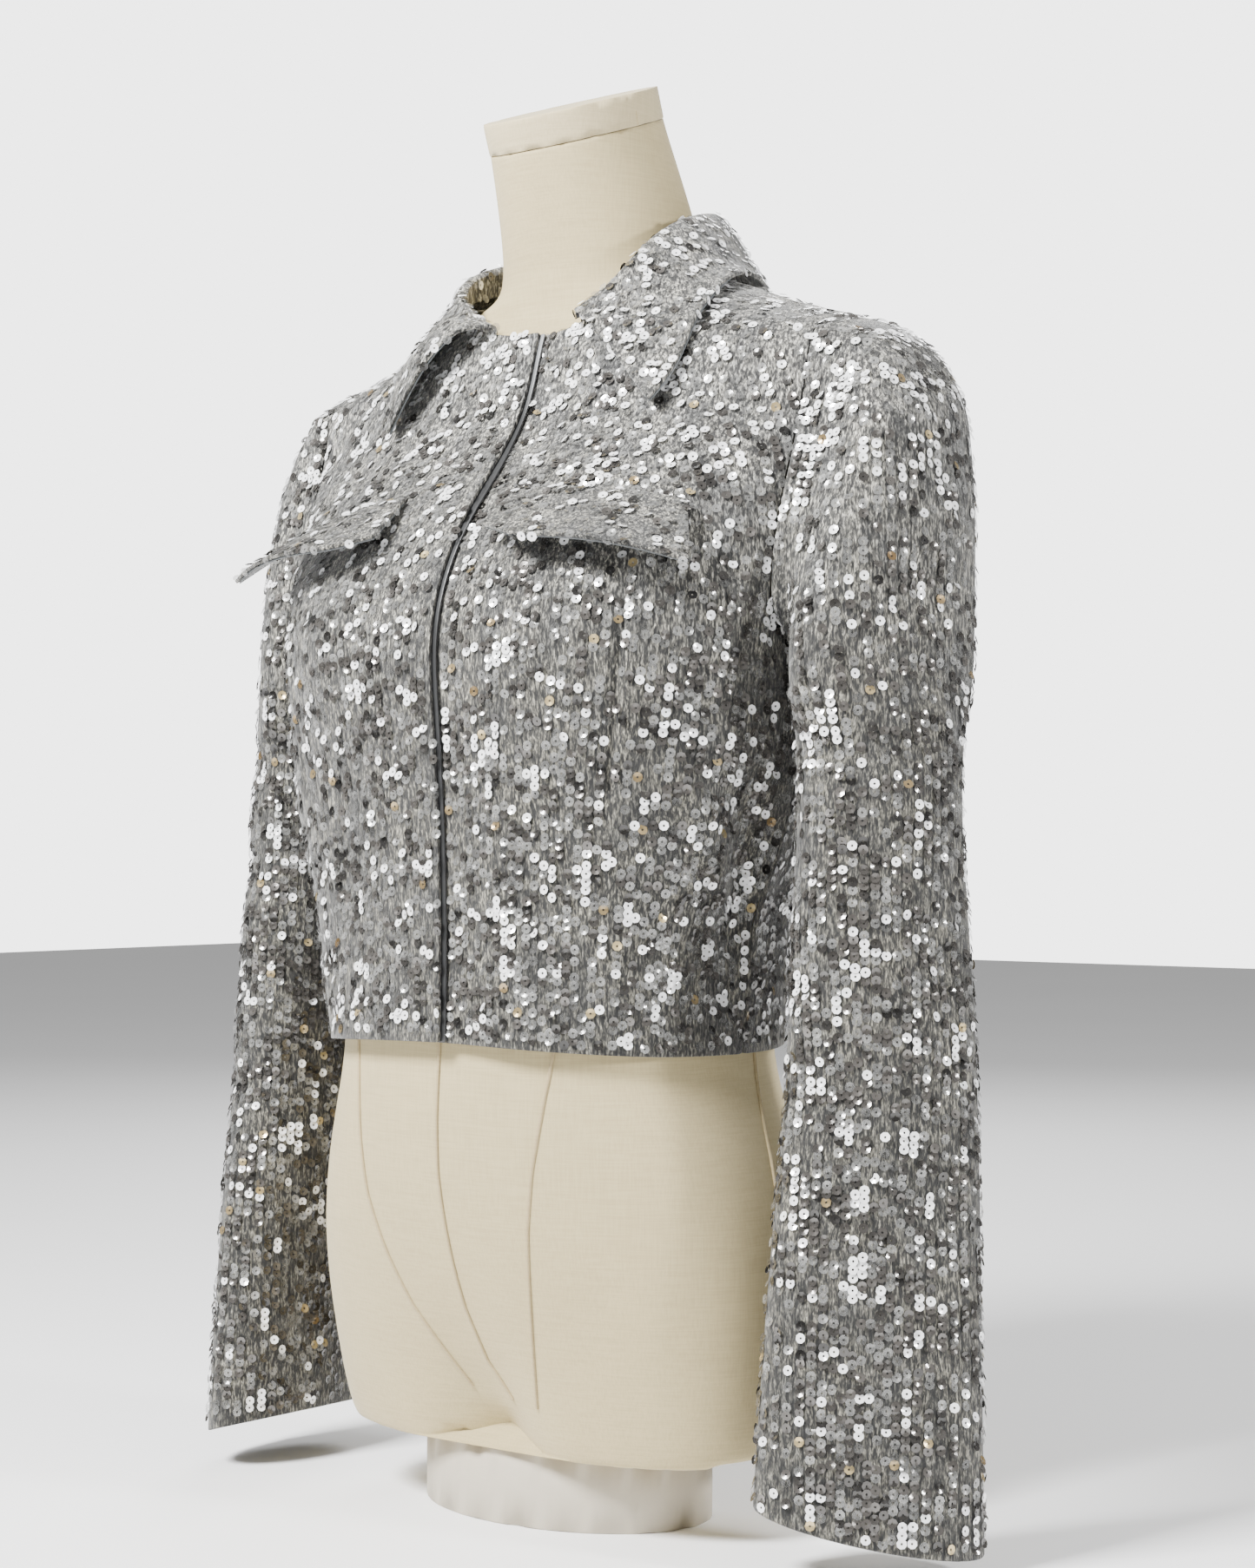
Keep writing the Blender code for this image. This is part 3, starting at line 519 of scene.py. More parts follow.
@dataclass(frozen=True)
class Linen:
    """Cream linen drawn tight over the form, with a plain weave.

    Attributes:
        name: The material's name.
        shade: Its red, green and blue.
        threads: Threads to the metre.
        raised: How far the threads stand up.
    """

    name: str = "cream_linen"
    shade: tuple[float, float, float] = (0.46, 0.380, 0.205)
    threads: float = 1250.0
    raised: float = 0.00010

    def material(self) -> bpy.types.Material:
        """Make the linen's material."""
        graph = Graph(self.name)
        along = graph.noise((self.threads, self.threads, 60.0), detail=1.0)
        across = graph.noise((50.0, 50.0, self.threads), detail=1.0)
        weave = graph.math("ADD", along, across)
        soiled = graph.noise((9.0, 9.0, 7.0), detail=3.0)
        ground = graph.two_tone(soiled, self.shade, (0.32, 0.93), (0.68, 1.05))
        thread = graph.ramp(graph.math("MULTIPLY", weave, 0.5),
                            ((0.36, 0.91, 0.90, 0.885), (0.62, 1.04, 1.04, 1.04)))
        graph.bump(weave, self.raised, 0.55)
        graph.set(Base_Color=graph.tinted(ground, thread), Roughness=0.88, Sheen_Weight=0.15)
        return graph.material


@dataclass(frozen=True)
class PaleBase:
    """Matt painted wood of the low base.

    Attributes:
        shade: Its red, green and blue.
        raised: How far the grain stands up.
    """

    shade: tuple[float, float, float] = (0.50, 0.45, 0.36)
    raised: float = 0.0001

    def material(self) -> bpy.types.Material:
        """Make the base's material."""
        graph = Graph("pale_base")
        grain = graph.noise((14.0, 620.0, 620.0), detail=2.0)
        graph.bump(grain, self.raised, 0.3)
        graph.set(Base_Color=graph.two_tone(grain, self.shade, (0.3, 0.975), (0.7, 1.0)),
                  Roughness=graph.two_tone(grain, (1.0, 1.0, 1.0), (0.3, 0.50), (0.7, 0.62)))
        return graph.material


@dataclass(frozen=True)
class PaleFloor:
    """Seamless pale studio floor.

    Attributes:
        shade: Its red, green and blue.
    """

    shade: tuple[float, float, float] = (0.93, 0.93, 0.93)

    def material(self) -> bpy.types.Material:
        """Make the floor's material."""
        graph = Graph("pale_floor")
        cloudy = graph.noise((2.0, 2.0, 2.0), detail=1.0)
        graph.set(Base_Color=graph.two_tone(cloudy, self.shade, (0.3, 0.985), (0.7, 1.0)),
                  Roughness=0.9)
        return graph.material


@dataclass(frozen=True)
class Spine:
    """Upright middle line of a piece, which turns are measured round.

    Attributes:
        rows: Rows of a height and the line's x and y there, going up.
        top: Above this height the piece closes over, so rays fan out from here.
        reach: A distance from the line that lies outside the piece.
        core: The least distance of a hit from the line; a closer one is the far side's.
        graze: The least cosine between a face and a ray; below it the ray grazes a cut edge.
    """

    rows: tuple[Row, ...]
    top: float
    reach: float
    core: float = 0.02
    graze: float = 0.12

    def at(self, height: float) -> np.ndarray:
        """Give the line's point at a height, no higher than its top."""
        height = min(height, self.top)
        heights, xs, ys = zip(*self.rows)
        return np.array([np.interp(height, heights, xs), np.interp(height, heights, ys), height])

    def away(self, points: np.ndarray) -> np.ndarray:
        """Give the outward direction at each point.

        Args:
            points: Rows of x, y and z.

        Returns:
            Rows of unit vectors, level below the top and fanning out above it.
        """
        heights, xs, ys = zip(*self.rows)
        low = np.minimum(points[:, 2], self.top)
        centre = np.stack((np.interp(low, heights, xs), np.interp(low, heights, ys), low), axis=1)
        out = points - centre
        return out / np.maximum(np.linalg.norm(out, axis=1, keepdims=True), 1e-9)

    def hit(self, tree: BVHTree, turn: float, height: float, rise: float = 0.0,
            ) -> tuple[Vector, Vector] | None:
        """Find the piece's outer face in one direction from the line.

        Args:
            tree: The piece's faces.
            turn: The direction round the line, in degrees.
            height: The height on the line.
            rise: How far the direction tilts up, in degrees.

        Returns:
            The point and its outward direction, or None where the piece is open.
        """
        centre = Vector(self.at(height))
        level, up = math.radians(turn), math.radians(rise)
        ray = Vector((math.sin(level) * math.cos(up), -math.cos(level) * math.cos(up),
                      math.sin(up)))
        place, normal, _, _ = tree.ray_cast(centre + ray * self.reach, -ray)
        if place is None or (place - centre).dot(ray) < self.core or normal.dot(ray) < self.graze:
            return None
        return place, normal


@dataclass(frozen=True)
class Fold:
    """A soft crease, pressed in or raised along a route of turns and heights.

    Attributes:
        route: Places that it runs through, as pairs of a turn and a height.
        width: Half its width, where it has lost most of its depth.
        depth: How deep it is; a ridge has a depth below zero.
        ends: Share of its length over which it fades out at each end.
    """

    route: Route
    width: float
    depth: float
    ends: float = 0.3

    def press(self, points: np.ndarray, places: list[np.ndarray]) -> np.ndarray:
        """Work out how far each point goes in.

        Args:
            points: The piece's points.
            places: The route's places on the piece.

        Returns:
            A depth for each point.
        """
        lengths = [np.linalg.norm(b - a) for a, b in zip(places, places[1:])]
        total, done = sum(lengths), 0.0
        best = np.full(len(points), 1e9)
        along = np.zeros(len(points))
        for a, b, length in zip(places, places[1:], lengths):
            way = (b - a) / length
            t = np.clip((points - a) @ way, 0.0, length)
            distance = np.linalg.norm(points - a - t[:, None] * way, axis=1)
            closer = distance < best
            best = np.where(closer, distance, best)
            along = np.where(closer, (done + t) / total, along)
            done += length
        fade = smoothstep(0.0, self.ends, along) * smoothstep(0.0, self.ends, 1 - along)
        return self.depth * np.exp(-((best / self.width) ** 2)) * fade


@dataclass
class SewnPiece:
    """One cut piece of the garment, as a thin shell on its solid's form.

    Attributes:
        node: The frame's node that it stands for.
        slot: The record's material slot; not used.
        finish: The piece's material.
        flat: Width and length of the cut that shows; not used.
        hold: How it is held; not used.
        rests_on: What it hangs from or lies on; not used.
        detail: How many times its faces are divided.
        rim: How sharp its cut edges stay, from 0 to 1.
        shell: The piece itself, once it is built.
    """

    node: str
    slot: str
    finish: bpy.types.Material
    flat: tuple[float, float]
    hold: Hold
    rests_on: tuple[str, ...]
    detail: int = 2
    rim: float = 0.75
    shell: bpy.types.Object = field(init=False)

    def build(self, nodes: dict[str, bpy.types.Object]) -> None:
        """Make the shell from a merged copy of the solid.

        Args:
            nodes: The frame's nodes.
        """
        self.shell = divided_copy(nodes[self.node], f"{self.node}_cloth", CLOTH_JOIN, self.rim,
                                  self.detail)
        self.shape()
        coat(self.shell.data, self.finish)

    def shape(self) -> None:
        """Leave the shell on its solid's form; pieces with folds press them here."""

    def finish_piece(self, with_pieces: list[bpy.types.Object]) -> None:
        """Hand the shell to the frame.

        Args:
            with_pieces: Separate pieces that are sewn on it; not used.
        """
        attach(self.shell, BODY)
        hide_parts(self.node)


@dataclass(frozen=True)
class SequinMix:
    """Which kind of sequin lies where, in loose clusters, with near-white silver sequins as
    painted glints, most of them up high, and dark pewter ones partly as painted shade low down and
    on the low flanks.

    Attributes:
        squeeze: Clusters are longer upright: heights count for this share of themselves.
        clusters: Clusters of near-white silver sequins, painted glints, to the metre, and those of
            their finer pattern.
        finer: Share of the finer pattern.
        painted_glint_lift: How much nearer to a cluster the upper garment is, for more painted
            glints up high.
        patches: Dark patches to the metre.
        apart: How the dark patches' pattern is moved from the clusters' one.
        upper: Heights between which the upper garment's mix takes over, with more painted glints
            and less painted shade.
        cluster_edge: Strengths of the pattern between which a cluster begins.
        patch_edge: Strengths between which a dark patch begins.
        shaded_flank: Distances to the side between which a flank begins, darkened with pewter
            sequins as painted shade.
        low: Heights between which its low part begins, going down.
        silver_painted_glint: Share of silver sequins, painted near white as glints, everywhere,
            more in clusters, and more in the upper garment.
        pewter: Share of pewter everywhere, and more lower down, in patches and on low flanks; the
            share lower down and on low flanks is painted shade.
        gold: Share of gold everywhere.
    """

    squeeze: float = 0.62
    clusters: tuple[float, float] = (72.0, 160.0)
    finer: float = 0.7
    painted_glint_lift: float = 0.10
    patches: float = 48.0
    apart: tuple[float, float, float] = (7.0, 3.0, 1.0)
    upper: tuple[float, float] = (0.44, 0.62)
    cluster_edge: tuple[float, float] = (0.28, 0.55)
    patch_edge: tuple[float, float] = (0.12, 0.48)
    shaded_flank: tuple[float, float] = (0.11, 0.16)
    low: tuple[float, float] = (0.50, 0.40)
    silver_painted_glint: tuple[float, float, float] = (0.025, 0.66, 0.08)
    pewter: tuple[float, float, float, float] = (0.055, 0.10, 0.32, 0.10)
    gold: float = 0.009

    def kind(self, spot: Vector, chance: float) -> SequinKind:
        """Choose the kind of sequin for a place.

        Args:
            spot: The place.
            chance: A number from 0 to 1 that decides.

        Returns:
            The kind.
        """
        drawn = Vector((spot.x, spot.y, self.squeeze * spot.z))
        upper = float(smoothstep(*self.upper, spot.z))
        coarse, fine = self.clusters
        # The upper garment is lifted nearer to a cluster, for more painted glints up high.
        cluster = (noise.noise(drawn * coarse) + self.finer * noise.noise(drawn * fine)
                   + self.painted_glint_lift * upper)
        patch = noise.noise(drawn * self.patches + Vector(self.apart))
        # Low flanks beside the sleeves get more dark pewter sequins as painted shade.
        shaded_flank = float(smoothstep(*self.shaded_flank, abs(spot.x)) * smoothstep(*self.low, spot.z))
        # Silver sequins paint glints: a few everywhere, more in clusters and more in the upper
        # garment.
        base, clustered, higher = self.silver_painted_glint
        silver_painted_glint = base + clustered * float(smoothstep(*self.cluster_edge, cluster)) + higher * upper
        # Pewter everywhere and in patches is its own colour; the extra pewter lower down and on
        # the low flanks is painted shade.
        base, lower, patched, flank_shade = self.pewter
        pewter = (base + lower * (1 - upper)
                  + patched * float(smoothstep(*self.patch_edge, patch)) + flank_shade * shaded_flank)
        if chance < silver_painted_glint:
            return SequinKind.SILVER_PAINTED_GLINT
        if chance < silver_painted_glint + pewter:
            return SequinKind.PEWTER
        return SequinKind.GOLD if chance < silver_painted_glint + pewter + self.gold else SequinKind.CLEAR


@dataclass
class Sequins:
    """Sequins sewn on one piece, in upright columns or scattered, joined into one mesh.

    Attributes:
        piece_name: The piece's name.
        films: A material for each kind of sequin.
        mix: Which kind lies where.
        radius: A sequin's radius.
        hole: Its hole's radius.
        cup: How far its middle is cupped.
        column_gap: Space between columns.
        row_gap: Space between sequins in a column.
        crowding: Share of that space that a scattered one is given, before thinning.
        least_gap: Two sequins closer than this are thinned to one.
        lift: How far it stands off the yarn.
        uneven: How much that differs between them.
        lean: How far they lean back on average, as a slope.
        nod: How much that differs between them.
        sway: How much they lean to the sides.
        tone_spread: How much their shades differ.
        bare: Share of the places for clear ones that stay bare.
        bare_routes: Routes that stay bare, each with its half width.
        places: Where they are sewn, with the cloth's outward direction.
    """

    piece_name: str
    films: list[bpy.types.Material]
    mix: SequinMix = SequinMix()
    radius: float = 0.0026
    hole: float = 0.0006
    cup: float = 0.00035
    column_gap: float = 0.0051
    row_gap: float = 0.0046
    crowding: float = 0.35
    least_gap: float = 0.0036
    lift: float = 0.0007
    uneven: float = 0.0003
    lean: float = 0.16
    nod: float = 0.20
    sway: float = 0.15
    tone_spread: float = 0.26
    bare: float = 0.55
    bare_routes: list[tuple[list[np.ndarray], float]] = field(default_factory=list)
    places: list[tuple[Vector, Vector]] = field(default_factory=list)

    def sew_columns(self, tree: BVHTree, spine: Spine, low: float, level: float,
                    turns: tuple[float, float], highest_rise: float) -> None:
        """Mark sequin places up a piece in columns.

        Args:
            tree: The piece's faces.
            spine: The piece's middle line.
            low: The lowest height.
            level: The height at which the columns are a column gap apart.
            turns: Where the columns start and end.
            highest_rise: The steepest direction above the spine's top, in degrees.
        """
        for index, turn in enumerate(self.column_turns(tree, spine, level, turns)):
            stops = [(z, 0.0) for z in np.arange(low, spine.top, CLIMB_STEP)]
            stops += [(spine.top, rise) for rise in np.arange(0.0, highest_rise, RISE_STEP)]
            since, last = (index % 2) * 0.5 * self.row_gap, None
            for height, rise in stops:
                found = spine.hit(tree, turn, height, rise)
                if found is None:
                    last = None
                    continue
                since += (found[0] - last).length if last is not None else 0.0
                last = found[0]
                if since >= self.row_gap:
                    since -= self.row_gap
                    self.places.append(found)

    def column_turns(self, tree: BVHTree, spine: Spine, level: float,
                     turns: tuple[float, float]) -> list[float]:
        """Space the columns evenly along the cloth at one height.

        Args:
            tree: The piece's faces.
            spine: The piece's middle line.
            level: The height.
            turns: Where the columns start and end.

        Returns:
            The turn of each column.
        """
        chosen, since, last = [], self.column_gap, None
        for turn in np.arange(turns[0], turns[1], TURN_STEP):
            found = spine.hit(tree, turn, level)
            if found is not None and last is not None:
                since += min((found[0] - last).length, self.column_gap)
            elif found is None:
                since += math.radians(TURN_STEP) * OPEN_RADIUS
            last = found[0] if found is not None else None
            if since >= self.column_gap:
                since -= self.column_gap
                chosen.append(float(turn))
        return chosen

    def scatter(self, mesh: bpy.types.Mesh, rng: np.random.Generator) -> None:
        """Mark sequin places evenly all over a small piece.

        Args:
            mesh: The piece's mesh.
            rng: The source of chance.
        """
        areas = np.array([p.area for p in mesh.polygons])
        count = int(areas.sum() / (self.crowding * self.column_gap * self.row_gap))
        for index in rng.choice(len(areas), size=count, p=areas / areas.sum()):
            face = mesh.polygons[int(index)]
            weights = rng.dirichlet(np.ones(len(face.vertices)))
            spot = sum((mesh.vertices[v].co * float(w) for v, w in zip(face.vertices, weights)),
                       Vector((0, 0, 0)))
            self.places.append((spot, face.normal.copy()))

    def keep_clear(self, trees: Iterable[BVHTree], clearance: float) -> None:
        """Drop the places that another piece covers.

        Args:
            trees: The other pieces' faces.
            clearance: The least distance along the sequin's own direction.
        """
        trees = list(trees)
        self.places = [
            (spot, normal) for spot, normal in self.places
            if all(tree.ray_cast(spot + normal * RAY_START, normal, clearance)[0] is None
                   for tree in trees)]

    def thin(self) -> None:
        """Drop places that crowd their neighbours."""
        size = self.least_gap
        cells: dict[tuple[int, int, int], list[Vector]] = {}
        kept = []
        for spot, normal in self.places:
            home = tuple(int(math.floor(c / size)) for c in spot)
            near = (cells.get((home[0] + i, home[1] + j, home[2] + k), ())
                    for i in (-1, 0, 1) for j in (-1, 0, 1) for k in (-1, 0, 1))
            if any((spot - other).length < size for group in near for other in group):
                continue
            cells.setdefault(home, []).append(spot)
            kept.append((spot, normal))
        self.places = kept

    def choose(self, spot: Vector, chance: float, second: float) -> SequinKind | None:
        """Choose what is sewn on at a place.

        Args:
            spot: The place.
            chance: A number from 0 to 1 that decides on the kind.
            second: Another one, for the clear ones that are left out.

        Returns:
            The kind, or None where the cloth stays bare.
        """
        for route, width in self.bare_routes:
            if any((Vector(place) - spot).length < width for place in route):
                return None
        kind = self.mix.kind(spot, chance)
        return None if kind is SequinKind.CLEAR and second < self.bare else kind

    def template(self) -> tuple[np.ndarray, np.ndarray]:
        """Model one cupped sequin with its hole.

        Returns:
            Its points and the corner numbers of its faces.
        """
        work = bmesh.new()
        bmesh.ops.create_circle(work, cap_ends=True, segments=8, radius=self.radius)
        middle = bmesh.ops.inset_individual(
            work, faces=work.faces[:], thickness=self.radius - self.hole, depth=-self.cup)
        rim = set(middle["faces"])
        bmesh.ops.delete(work, geom=[f for f in work.faces if f not in rim],
                         context="FACES_ONLY")
        bmesh.ops.recalc_face_normals(work, faces=work.faces)
        work.verts.index_update()
        if work.faces[:][0].normal.z < 0:
            bmesh.ops.reverse_faces(work, faces=work.faces)
        points = np.array([v.co for v in work.verts])
        faces = np.array([[v.index for v in f.verts] for f in work.faces])
        work.free()
        return points, faces

    def build(self, rng: np.random.Generator) -> bpy.types.Object:
        """Join a sequin at each place into one mesh.

        Args:
            rng: The source of chance.

        Returns:
            The piece.
        """
        points, faces = self.template()
        all_points, all_faces, kinds, tones = [], [], [], []
        for spot, normal in self.places:
            kind = self.choose(spot, rng.random(), rng.random())
            nod, sway, spin, raise_by, tone = rng.normal(size=5)
            if kind is None:
                continue
            side = normal.cross(Vector((0, 0, 1)))
            if side.length < NEARLY_LEVEL:
                side = Vector((1, 0, 0))
            side.normalize()
            up = side.cross(normal)
            facing = normal + up * (self.lean + self.nod * nod) + side * self.sway * sway
            facing.normalize()
            across = facing.cross(up).normalized()
            along = across.cross(facing)
            angle = spin * math.pi
            turned = np.stack((points[:, 0] * math.cos(angle) - points[:, 1] * math.sin(angle),
                               points[:, 0] * math.sin(angle) + points[:, 1] * math.cos(angle),
                               points[:, 2]), axis=1)
            axes = np.array([across, along, facing])
            centre = np.array(spot + normal * (self.lift + self.uneven * abs(raise_by)))
            all_faces.append(faces + len(all_points) * len(points))
            all_points.append(turned @ axes + centre)
            kinds.append(kind.value)
            tones.append(min(max(0.5 + self.tone_spread * tone, 0.0), 1.0))
        mesh = bpy.data.meshes.new(self.piece_name)
        mesh.from_pydata(np.concatenate(all_points).tolist(), [],
                         np.concatenate(all_faces).tolist())
        attribute = mesh.attributes.new("tone", "FLOAT", "POINT")
        attribute.data.foreach_set("value", np.repeat(tones, len(points)).astype(np.float32))
        mesh.polygons.foreach_set("material_index", np.repeat(kinds, len(faces)))
        for film in self.films:
            mesh.materials.append(film)
        mesh.shade_smooth()
        piece = add_object(self.piece_name, mesh)
        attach(piece, BODY)
        LOG.info("%s: %d sequins", self.piece_name, len(kinds))
        return piece


@dataclass
class FoldedPiece(SewnPiece):
    """A piece of cloth with its main creases pressed in.

    Attributes:
        spine: The piece's middle line.
        folds: Its creases.
        darts: Sewn lines, pressed in narrowly and kept bare.
        columns: The height where sequin columns are spaced, and the turns they span.
        highest_rise: How steeply above the spine's top the columns end, in degrees.
    """

    spine: Spine = None
    folds: tuple[Fold, ...] = ()
    darts: tuple[Fold, ...] = ()
    columns: Row = (0.45, -180.0, 180.0)
    highest_rise: float = 86.0

    def place_route(self, tree: BVHTree, route: Route) -> list[np.ndarray]:
        """Find a route's places on the cloth.

        Args:
            tree: The piece's faces.
            route: Pairs of a turn and a height; above the spine's top the direction
                tilts up instead.

        Returns:
            The places that the piece has.
        """
        found = [self.spine.hit(tree, turn, height,
                                max(height - self.spine.top, 0.0) * RISE_PER_METRE)
                 for turn, height in route]
        return [np.array(place) for place, _ in (f for f in found if f is not None)]

    def shape(self) -> None:
        """Press the creases and the darts into both faces of the cloth."""
        mesh = self.shell.data
        tree = surface_tree(mesh)
        points = read_points(mesh)
        away = self.spine.away(points)
        pressed = np.zeros(len(points))
        for fold in self.folds + self.darts:
            places = self.place_route(tree, fold.route)
            if len(places) > 1:
                pressed += fold.press(points, places)
        write_points(mesh, points - away * pressed[:, None])

    def sew(self, films: list[bpy.types.Material], rng: np.random.Generator,
            covers: Iterable[BVHTree]) -> bpy.types.Object:
        """Sew the sequins on.

        Args:
            films: A material for each kind of sequin.
            rng: The source of chance.
            covers: Faces of the pieces that lie over this one.

        Returns:
            The sequins.
        """
        tree = surface_tree(self.shell.data)
        low = min(v.co.z for v in self.shell.data.vertices) + HEM_MARGIN
        sequins = Sequins(f"sequins_{self.node}", films)
        level, start, end = self.columns
        sequins.sew_columns(tree, self.spine, low, level, (start, end), self.highest_rise)
        sequins.keep_clear(covers, UNDER_CLEARANCE)
        sequins.thin()
        for dart in self.darts:
            places = self.place_route(tree, dart.route)
            if len(places) > 1:
                sequins.bare_routes.append((dense_route(places), DART_BARE))
        return sequins.build(rng)


def dense_route(places: list[np.ndarray], step: float = 0.0015) -> list[np.ndarray]:
    """Fill a route in with places that lie close together.

    Args:
        places: The route's own places.
        step: How close they lie.

    Returns:
        The places of the filled route.
    """
    filled = []
    for a, b in zip(places, places[1:]):
        count = max(int(np.linalg.norm(b - a) / step), 1)
        filled += [a + (b - a) * (k / count) for k in range(count)]
    return filled + [places[-1]]


@dataclass
class SmallSequinPiece(SewnPiece):
    """The collar or a flap: stiff cloth that keeps its solid's form.

    Attributes:
        bare: Share of the places for clear sequins that stay bare.
    """

    bare: float = 0.45

    def sew(self, films: list[bpy.types.Material], rng: np.random.Generator,
            covers: Iterable[BVHTree]) -> bpy.types.Object:
        """Sew the sequins on the faces that are seen.

        Args:
            films: A material for each kind of sequin.
            rng: The source of chance.
            covers: Faces of the pieces that hide a side of this one.

        Returns:
            The sequins.
        """
        sequins = Sequins(f"sequins_{self.node}", films, bare=self.bare)
        sequins.scatter(self.shell.data, rng)
        sequins.keep_clear(list(covers) + [surface_tree(self.shell.data)], HIDDEN_REACH)
        sequins.thin()
        return sequins.build(rng)


SIDE_SEAM = ((89.9, 0.300), (89.9, 0.245), (87.7, 0.212), (86.9, 0.182), (86.6, 0.160),
             (86.6, 0.110), (86.6, 0.062))
BACK_SEAM = ((145.0, 0.300), (147.0, 0.220), (149.0, 0.140), (150.0, 0.064))
FORM_SEAMS = (
    ((-0.3, 0.330), (-0.3, 0.253), (-1.2, 0.216), (-1.2, 0.188), (0.3, 0.154),
     (1.6, 0.117), (5.0, 0.088), (14.0, 0.068)),
    ((-34.2, 0.300), (-34.2, 0.252), (-32.2, 0.203), (-30.3, 0.173), (-26.0, 0.143),
     (-21.2, 0.116), (-14.7, 0.092), (-9.1, 0.072)),
    ((33.9, 0.300), (33.9, 0.255), (31.6, 0.230), (28.6, 0.192), (27.4, 0.161),
     (27.5, 0.121), (27.6, 0.067)),
    SIDE_SEAM,
    mirrored(SIDE_SEAM),
    ((180.0, 0.300), (180.0, 0.220), (180.0, 0.150), (180.0, 0.090)),
    BACK_SEAM,
    mirrored(BACK_SEAM),
)


@dataclass
class DressForm:
    """Linen-covered form, its seams, its cap and the low base.

    Attributes:
        linen: The cover's material.
        cap_linen: The cap's material.
        seam_linen: The seams' material.
        base_wood: The base's material.
        spine: The form's middle line.
        seams: Seam routes as pairs of a turn and a height.
        tape_radius: Half the thickness of a seam's ridge.
        proud: Share of that by which the ridge's middle stands off the cover.
        seam_steps: Stretches that each place of a route is divided into.
        slit_turn: Where the slit at the cap's left side lies.
        slit_heights: Where it starts and ends.
        slit_steps: Places that it runs through.
        slit_radius: Half its thickness.
    """

    linen: bpy.types.Material
    cap_linen: bpy.types.Material
    seam_linen: bpy.types.Material
    base_wood: bpy.types.Material
    spine: Spine = Spine(((0.0, 0.0, 0.010), (0.60, 0.0, 0.030), (0.66, 0.0, 0.042),
                          (0.75, 0.0, 0.018)), 0.75, 0.5)
    seams: tuple[Route, ...] = FORM_SEAMS
    tape_radius: float = 0.0011
    proud: float = 0.25
    seam_steps: int = 12
    slit_turn: float = 81.0
    slit_heights: tuple[float, float] = (0.741, 0.756)
    slit_steps: int = 10
    slit_radius: float = 0.00035

    def dress(self, nodes: dict[str, bpy.types.Object]) -> None:
        """Cover the form, sew its seams and finish the cap and base.

        Args:
            nodes: The frame's nodes.
        """
        cover = self.smooth_copy(nodes["dress_form"], "form_cover", self.linen, 2)
        cap = self.smooth_copy(nodes["neck_cap"], "cap_cover", self.cap_linen, 2)
        self.smooth_copy(nodes["form_base"], "base_block", self.base_wood, 1)
        tree = surface_tree(cover.data)
        for number, route in enumerate(self.seams, start=1):
            self.seam(f"form_seam_{number}", tree, route)
        self.cap_slit(surface_tree(cap.data))
        LOG.info("form: %d seams", len(self.seams))

    def smooth_copy(self, node: bpy.types.Object, name: str, finish: bpy.types.Material,
                    detail: int) -> bpy.types.Object:
        """Put a rounded copy in the place of a solid.

        Args:
            node: The solid.
            name: The new piece's name.
            finish: Its material.
            detail: How many times its faces are divided.

        Returns:
            The piece.
        """
        piece = divided_copy(node, name, FORM_JOIN, FORM_RIM, detail)
        coat(piece.data, finish)
        piece.data.set_sharp_from_angle(angle=RIM_ANGLE)
        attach(piece, BODY)
        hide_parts(node.name)
        return piece

    def seam(self, name: str, tree: BVHTree, route: Route) -> None:
        """Lay a slim ridge along a seam.

        Args:
            name: The piece's name.
            tree: The cover's faces.
            route: Pairs of a turn and a height.
        """
        turns, heights = zip(*route)
        corners = range(len(route))
        spots = []
        for step in np.linspace(0, len(route) - 1, self.seam_steps * len(route)):
            found = self.spine.hit(tree, float(np.interp(step, corners, turns)),
                                   float(np.interp(step, corners, heights)))
            if found is not None:
                spots.append(found[0] + found[1] * self.proud * self.tape_radius)
        self.tube(name, spots, self.tape_radius)

    def cap_slit(self, tree: BVHTree) -> None:
        """Lay the small slit's thread at the cap's left side.

        Args:
            tree: The cap's faces.
        """
        found = [self.spine.hit(tree, self.slit_turn, float(height))
                 for height in np.linspace(*self.slit_heights, self.slit_steps)]
        spots = [place for place, _ in (f for f in found if f is not None)]
        self.tube("cap_slit", spots, self.slit_radius)

    def tube(self, name: str, spots: list[Vector], radius: float) -> None:
        """Make a slim round ridge through some places.

        Args:
            name: The piece's name.
            spots: The places.
            radius: Its radius.
        """
        curve = bpy.data.curves.new(name, "CURVE")
        curve.dimensions = "3D"
        curve.bevel_depth = radius
        curve.bevel_resolution = 1
        curve.use_fill_caps = True
        spline = curve.splines.new("POLY")
        spline.points.add(len(spots) - 1)
        for point, spot in zip(spline.points, spots):
            point.co = (*spot, 1.0)
        drawn = add_object(name + "_line", curve)
        mesh = shown_mesh(drawn, name)
        bpy.data.objects.remove(drawn)
        piece = add_object(name, mesh)
        coat(mesh, self.seam_linen)
        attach(piece, BODY)


BODY_SPINE = Spine(((0.24, 0.0, 0.0), (0.40, 0.0, 0.005), (0.52, 0.0, 0.022)), 0.52, 0.45)
LEFT_SPINE = Spine(((0.0, 0.211, -0.013), (0.154, 0.209, -0.003), (0.250, 0.207, 0.005),
                    (0.325, 0.204, 0.008), (0.390, 0.2025, 0.010), (0.50, 0.190, 0.020)),
                   0.50, 0.16)
RIGHT_SPINE = Spine(((0.0, -0.2105, 0.004), (0.154, -0.208, 0.010), (0.250, -0.2065, 0.015),
                     (0.325, -0.204, 0.018), (0.390, -0.2025, 0.020), (0.50, -0.190, 0.022)),
                    0.50, 0.16)

